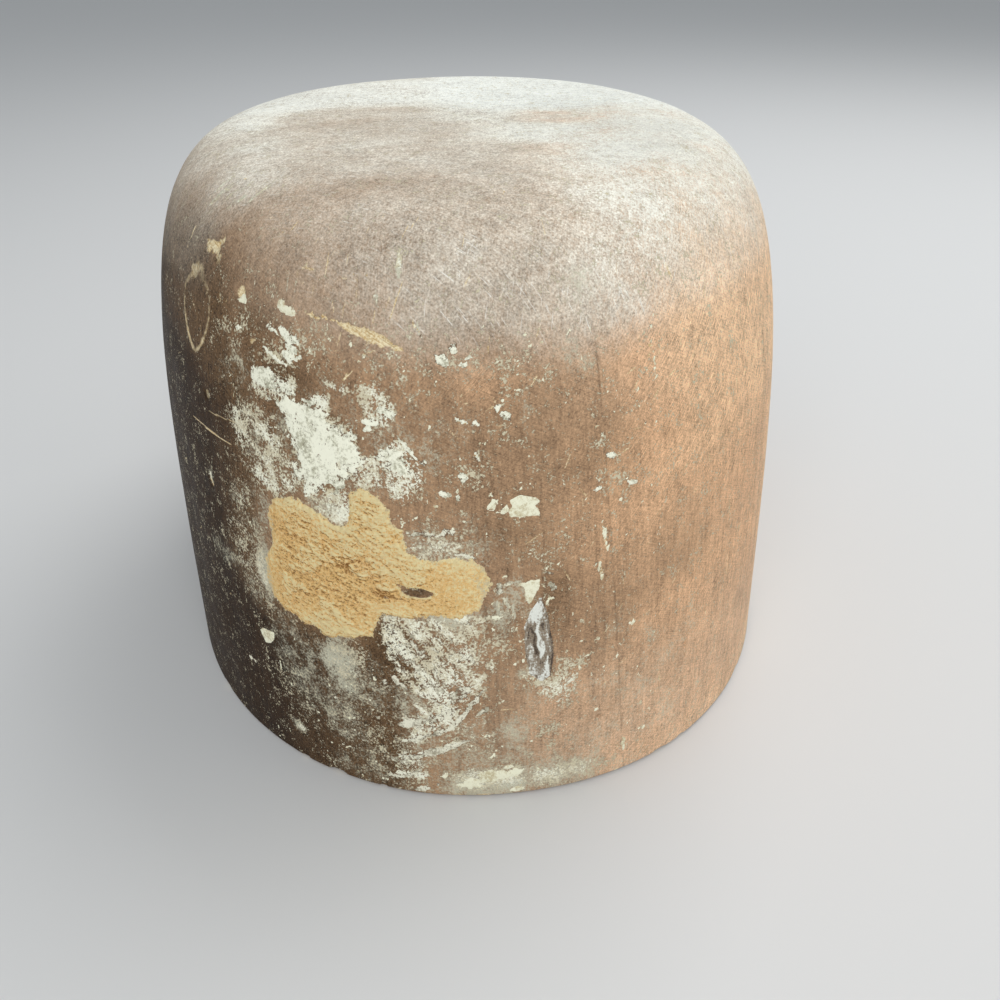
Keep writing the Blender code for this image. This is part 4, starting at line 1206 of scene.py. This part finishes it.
def paper_tone_and_painted_light(far, high):
    """How pale the paper is: worn pale or browned in places and paler at its edge, where the narrow band on
    the very rim is partly its pale torn edge and partly a painted highlight. It also carries painted light
    on its relief: paler where the surface faces up and darker where it faces down.
    """
    worn = dabbed(far, high, PAPER_PALE, soft=True) - dabbed(far, high, PAPER_BROWNED_AND_SHADED, soft=True)
    inside = within(far, high, PAPER_OUTLINE)
    # The narrow pale band on the very rim is partly the pale torn edge and partly a painted highlight.
    edge = 0.26 * eased(inside, 5.0, 0.5) + 0.30 * eased(inside, 1.2, 0.2)
    # Painted light: the paper is made paler where its surface faces up and darker where it faces down, as if
    # lit from above.
    ridge = paper_thickness(far, high) - paper_thickness(far + 0.1, high + 0.25)
    return 0.27 + worn + edge + 4.6 * np.clip(ridge, -0.25, 0.25)


def paper_group():
    """Brown paper, mottled and woolly, pale on its raised fibres and where it is worn through, with painted
    shade: darker where the sheet is thin or hollow and paler on its crests.
    """
    tree, given, place = finish_group("brown_paper", PAPER_COLOURS)
    patchy, fine = noise_of(place, 140.0, 4.0, 0.6), noise_of(place, 1500.0, 4.0, 0.7)
    strands = [
        abs(noise_of(vector_maths("MULTIPLY", place, drawn_out), scale, 3.0, 0.6) - 0.5)
        for scale, drawn_out in ((900.0, (1.0, 1.0, 2.6)), (1100.0, (2.4, 2.4, 0.8)))
    ]
    wool = 0.12 - maths("MINIMUM", *strands)
    thick = cover_on(tree, "thickness")
    tone = centred(patchy, 0.5) + wool * 1.6 + centred(fine, 3.6) + cover_on(tree, "shade")
    # Painted shade: the paper is made darker where it is thin or lies in a hollow and paler on its crests.
    tone += thick * 1.7 - 0.50
    colour = blend(rises(tone, -0.35, 0.5), given["Dark"], given["Middle"])
    colour = blend(rises(tone, 0.5, 1.25), colour, given["Pale"])
    colour = blend(rises(broken(thick * 5.0, 2.6), 0.30, 0.04), colour, PAPER_WORN_THROUGH)
    height = centred(fine, 1.0) + wool * 3.0
    return end_group(tree, Colour=colour, Roughness=centred(fine, 0.1) + 0.9, Height=height)


brown_paper = paper_group()
torn_paper = finish_from("torn_paper", brown_paper, PAPER_BUMP, PAPER_SHINE)
paper_box = (-68, 39, -4, 81)
paper = blanket("paper_scrap_torn", paper_box, PAPER_STEP, paper_thickness, torn_paper, paper_tone_and_painted_light)
add_piece("paper_scrap_torn", paper, "paper_scrap", slot="torn_paper")

# The glue run. A drop of hide glue ran down the front and set hard, clouded and wrinkled, with a furrow
# along it where the skin folded; the furrow is painted dark as shade and the ridge beside it painted white
# as a highlight. Its edges and the furrow are lines up the wall, each given by how far up and how far round
# its points lie.
GLUE_STEP, GLUE_BUMP, GLUE_SHINE = 0.12, 0.0002, 0.5
GLUE_LEFT = [33.5, 35.4, 40.8, 44.8, 48.6, 51.7, 54.4], [3.2, 1.2, 0.4, 0.1, 0.3, 1.3, 3.0]
GLUE_RIGHT = [33.5, 34.6, 39.9, 43.9, 50.5, 54.4], [4.2, 5.6, 6.1, 5.8, 4.7, 3.8]
GLUE_FURROW = [38.5, 40.5, 44.5, 47.9, 50.0], [3.4, 2.7, 2.1, 1.9, 2.4]
# The clear colour also serves as the painted shade of the furrow, and the clouded colour as the painted
# highlight on the ridge.
GLUE_COLOURS = {
    "Clear": (0.07, 0.045, 0.028, 1.0), "Brown": (0.27, 0.21, 0.145, 1.0),
    "Clouded": (0.85, 0.86, 0.78, 1.0),
}


def glue_place(far, high):
    """How far across the run each place lies, from 0 to 1, and how far it is from the run's ends."""
    left, right = np.interp(high, *GLUE_LEFT), np.interp(high, *GLUE_RIGHT)
    ends = np.clip(np.minimum((54.8 - high) / 3.0, (high - 33.2) / 2.2), 0, 1)
    wavy = (blotches(far, high, 3.0, 91, 4) - 0.5) * 0.5
    return (far + wavy - left) / (right - left), ends


def glue_fold(far, high):
    """1 along the furrow where the skin folded, and 1 along the ridge beside it."""
    off = far - np.interp(high, *GLUE_FURROW) - 0.2 * np.sin(high * 1.7)
    held = eased(high, 39.0, 41.5) * eased(high, 50.0, 47.0)
    return np.exp(-((off / 0.32) ** 2)) * held, np.exp(-(((off - 0.75) / 0.28) ** 2)) * held


def glue_thickness(far, high):
    across, ends = glue_place(far, high)
    furrow, ridge = glue_fold(far, high)
    inside = np.minimum(across, 1.06 - across) * 5.0
    body = 0.66 * np.sin(np.clip(across, 0, 1) ** 1.5 * math.pi * 0.82) * np.sqrt(ends)
    folds = creases(far * 1.6, high * 0.35, 2.2, 92, 3, 0.6, 6)
    grainy = (blotches(far, high, 1.0, 93, 3) - 0.4) * 0.35 * eased(high, 41, 36)
    body = body * (1 + 0.22 * folds) + grainy - 0.40 * furrow + 0.20 * ridge
    return np.where((inside > 0) & (ends > 0), np.maximum(body, 0.04), -0.1)


def glue_clouding_and_painted_light(far, high):
    """How clouded the glue is, in streaks, with painted light on its fold: dark in the furrow as shade and
    white on the ridge beside it as a highlight.
    """
    across, _ = glue_place(far, high)
    furrow, ridge = glue_fold(far, high)
    streaks = blotches(far * 1.3, high * 0.3, 1.6, 94, 4, 0.7)
    tone = 0.38 + 0.5 * eased(streaks, 0.42, 0.70) + 0.35 * eased(high, 48, 53) + 0.25 * eased(high, 40, 35)
    # A pale band along the right part of the run, partly streaky clouding and partly painted sheen.
    tone += 0.35 * np.exp(-(((across - 0.75) / 0.12) ** 2)) * eased(streaks, 0.4, 0.6)
    tone -= 0.45 * eased(across, 0.93, 1.0)
    # Painted light: the ridge beside the furrow is made white as a highlight, and the furrow dark as shade.
    return np.clip(tone + 0.7 * ridge, 0, 1.2) * (1 - furrow)


def glue_group():
    """Old hide glue: brown and clear where it is thin and clouded white in streaks; its darkest and whitest
    colours also carry the painted shade of the furrow and the painted highlight on the ridge.
    """
    tree, given, place = finish_group("hide_glue", GLUE_COLOURS)
    streaks = noise_of(vector_maths("MULTIPLY", place, (1.0, 1.0, 0.3)), 900.0, 4.0, 0.6)
    fine = noise_of(place, 2400.0, 3.0)
    tone = centred(streaks, 2.2) + centred(fine, 1.4) + cover_on(tree, "shade")
    colour = blend(rises(tone, 0.02, 0.30), given["Clear"], given["Brown"])
    colour = blend(rises(tone, 0.42, 1.0), colour, given["Clouded"])
    rough = rises(tone, 0.1, 1.0) * 0.4 + 0.3
    return end_group(tree, Colour=colour, Roughness=rough, Height=streaks + fine)


hard_glue = finish_from("hard_glue", glue_group(), GLUE_BUMP, GLUE_SHINE)
glue = blanket("glue_run_hard", (-2, 32, 9, 59), GLUE_STEP, glue_thickness, hard_glue, glue_clouding_and_painted_light)
add_piece("glue_run_hard", glue, "glue_run", slot="dried_glue")

# The fibres of the torn paper. Its top layer came away, and what is left is a felt of short pale
# fibres that lie over it and stand up at their ends. A tree scatters them.
FIBRE_DENSITY, FIBRE_SEED = 1.5e6, 5
FIBRE_LENGTH, FIBRE_THICKNESS, FIBRE_BEND = 1.3, 0.10, 0.13
FIBRE_TURNS = (-0.12, -0.12, 0.0), (0.12, 0.12, math.tau)
FIBRE_BUMP = 0.0001
FIBRE_COLOURS = {
    "Dark": (0.92, 0.60, 0.26, 1.0), "Middle": (0.99, 0.76, 0.38, 1.0), "Pale": (0.99, 0.87, 0.54, 1.0),
}


def fibre_mesh():
    """One short bent fibre, closed, with three faces round it."""
    mesh = bpy.data.meshes.new("fibre")
    bm = bmesh.new()
    rings = []
    for share in (0.0, 0.35, 0.7, 1.0):
        x, y = (share - 0.5) * FIBRE_LENGTH, 0.12 * math.sin(share * 5)
        arch = FIBRE_BEND * math.sin(share * math.pi) + 0.03
        thick = FIBRE_THICKNESS / 2 * (1.0 - 0.6 * abs(2 * share - 1))
        places = [(x, y + thick * math.cos(a), arch + thick * math.sin(a)) for a in (0.5, 2.6, 4.7)]
        rings.append([bm.verts.new(Vector(place) * MM) for place in places])
    for low, upper in zip(rings, rings[1:]):
        for side in range(3):
            bm.faces.new((low[side], low[(side + 1) % 3], upper[(side + 1) % 3], upper[side]))
    bm.faces.new(rings[0][::-1])
    bm.faces.new(rings[-1])
    bmesh.ops.recalc_face_normals(bm, faces=bm.faces)
    bm.to_mesh(mesh)
    bm.free()
    return mesh


def scatter_tree():
    """Scatters one shape over the upper side of a blanket, turned and sized at random."""
    tree, given = new_group("scattered_fibres", "GeometryNodeTree", {
        "Geometry": "Geometry", "Fibre": "Object", "Density": FIBRE_DENSITY, "Seed": FIBRE_SEED,
        "Shortest": 0.5, "Longest": 1.6, "Thinnest Paper": 0.12, "Material": "Material",
    }, {"Geometry": "Geometry"})
    upper, thickness = (
        flow_from(tree, "GeometryNodeInputNamedAttribute", {"Name": mark})
        for mark in ("upper", "thickness")
    )
    on_top = maths("GREATER_THAN", upper, 0.9) * maths("GREATER_THAN", thickness, given["Thinnest Paper"])
    points = flow_from(tree, "GeometryNodeDistributePointsOnFaces", {
        "Mesh": given["Geometry"], "Selection": on_top, "Density": given["Density"], "Seed": given["Seed"],
    })
    turns = {0: FIBRE_TURNS[0], 1: FIBRE_TURNS[1], "Seed": given["Seed"]}
    turn = flow_from(tree, "FunctionNodeRandomValue", turns, data_type="FLOAT_VECTOR")
    lay = {"Rotation": points.beside("Rotation"), "Rotate By": turn}
    sizes = {2: given["Shortest"], 3: given["Longest"], "Seed": given["Seed"]}
    fibres = flow_from(tree, "GeometryNodeInstanceOnPoints", {
        "Points": points,
        "Instance": flow_from(tree, "GeometryNodeObjectInfo", {"Object": given["Fibre"]}, out="Geometry"),
        "Rotation": flow_from(tree, "FunctionNodeRotateRotation", lay, rotation_space="LOCAL"),
        "Scale": flow_from(tree, "FunctionNodeRandomValue", sizes, out=1),
    })
    return end_with_real_faces(tree, fibres, given["Material"])


fibre = placed("fibre", fibre_mesh())
wool = finish_from("fibre_wool", brown_paper, FIBRE_BUMP, PAPER_SHINE, **FIBRE_COLOURS)
fibres = grown(paper, scatter_tree(), Fibre=fibre, Material=wool)
fibres.name = "paper_fibres"
bpy.data.objects.remove(fibre)
add_piece("paper_fibres", fibres)
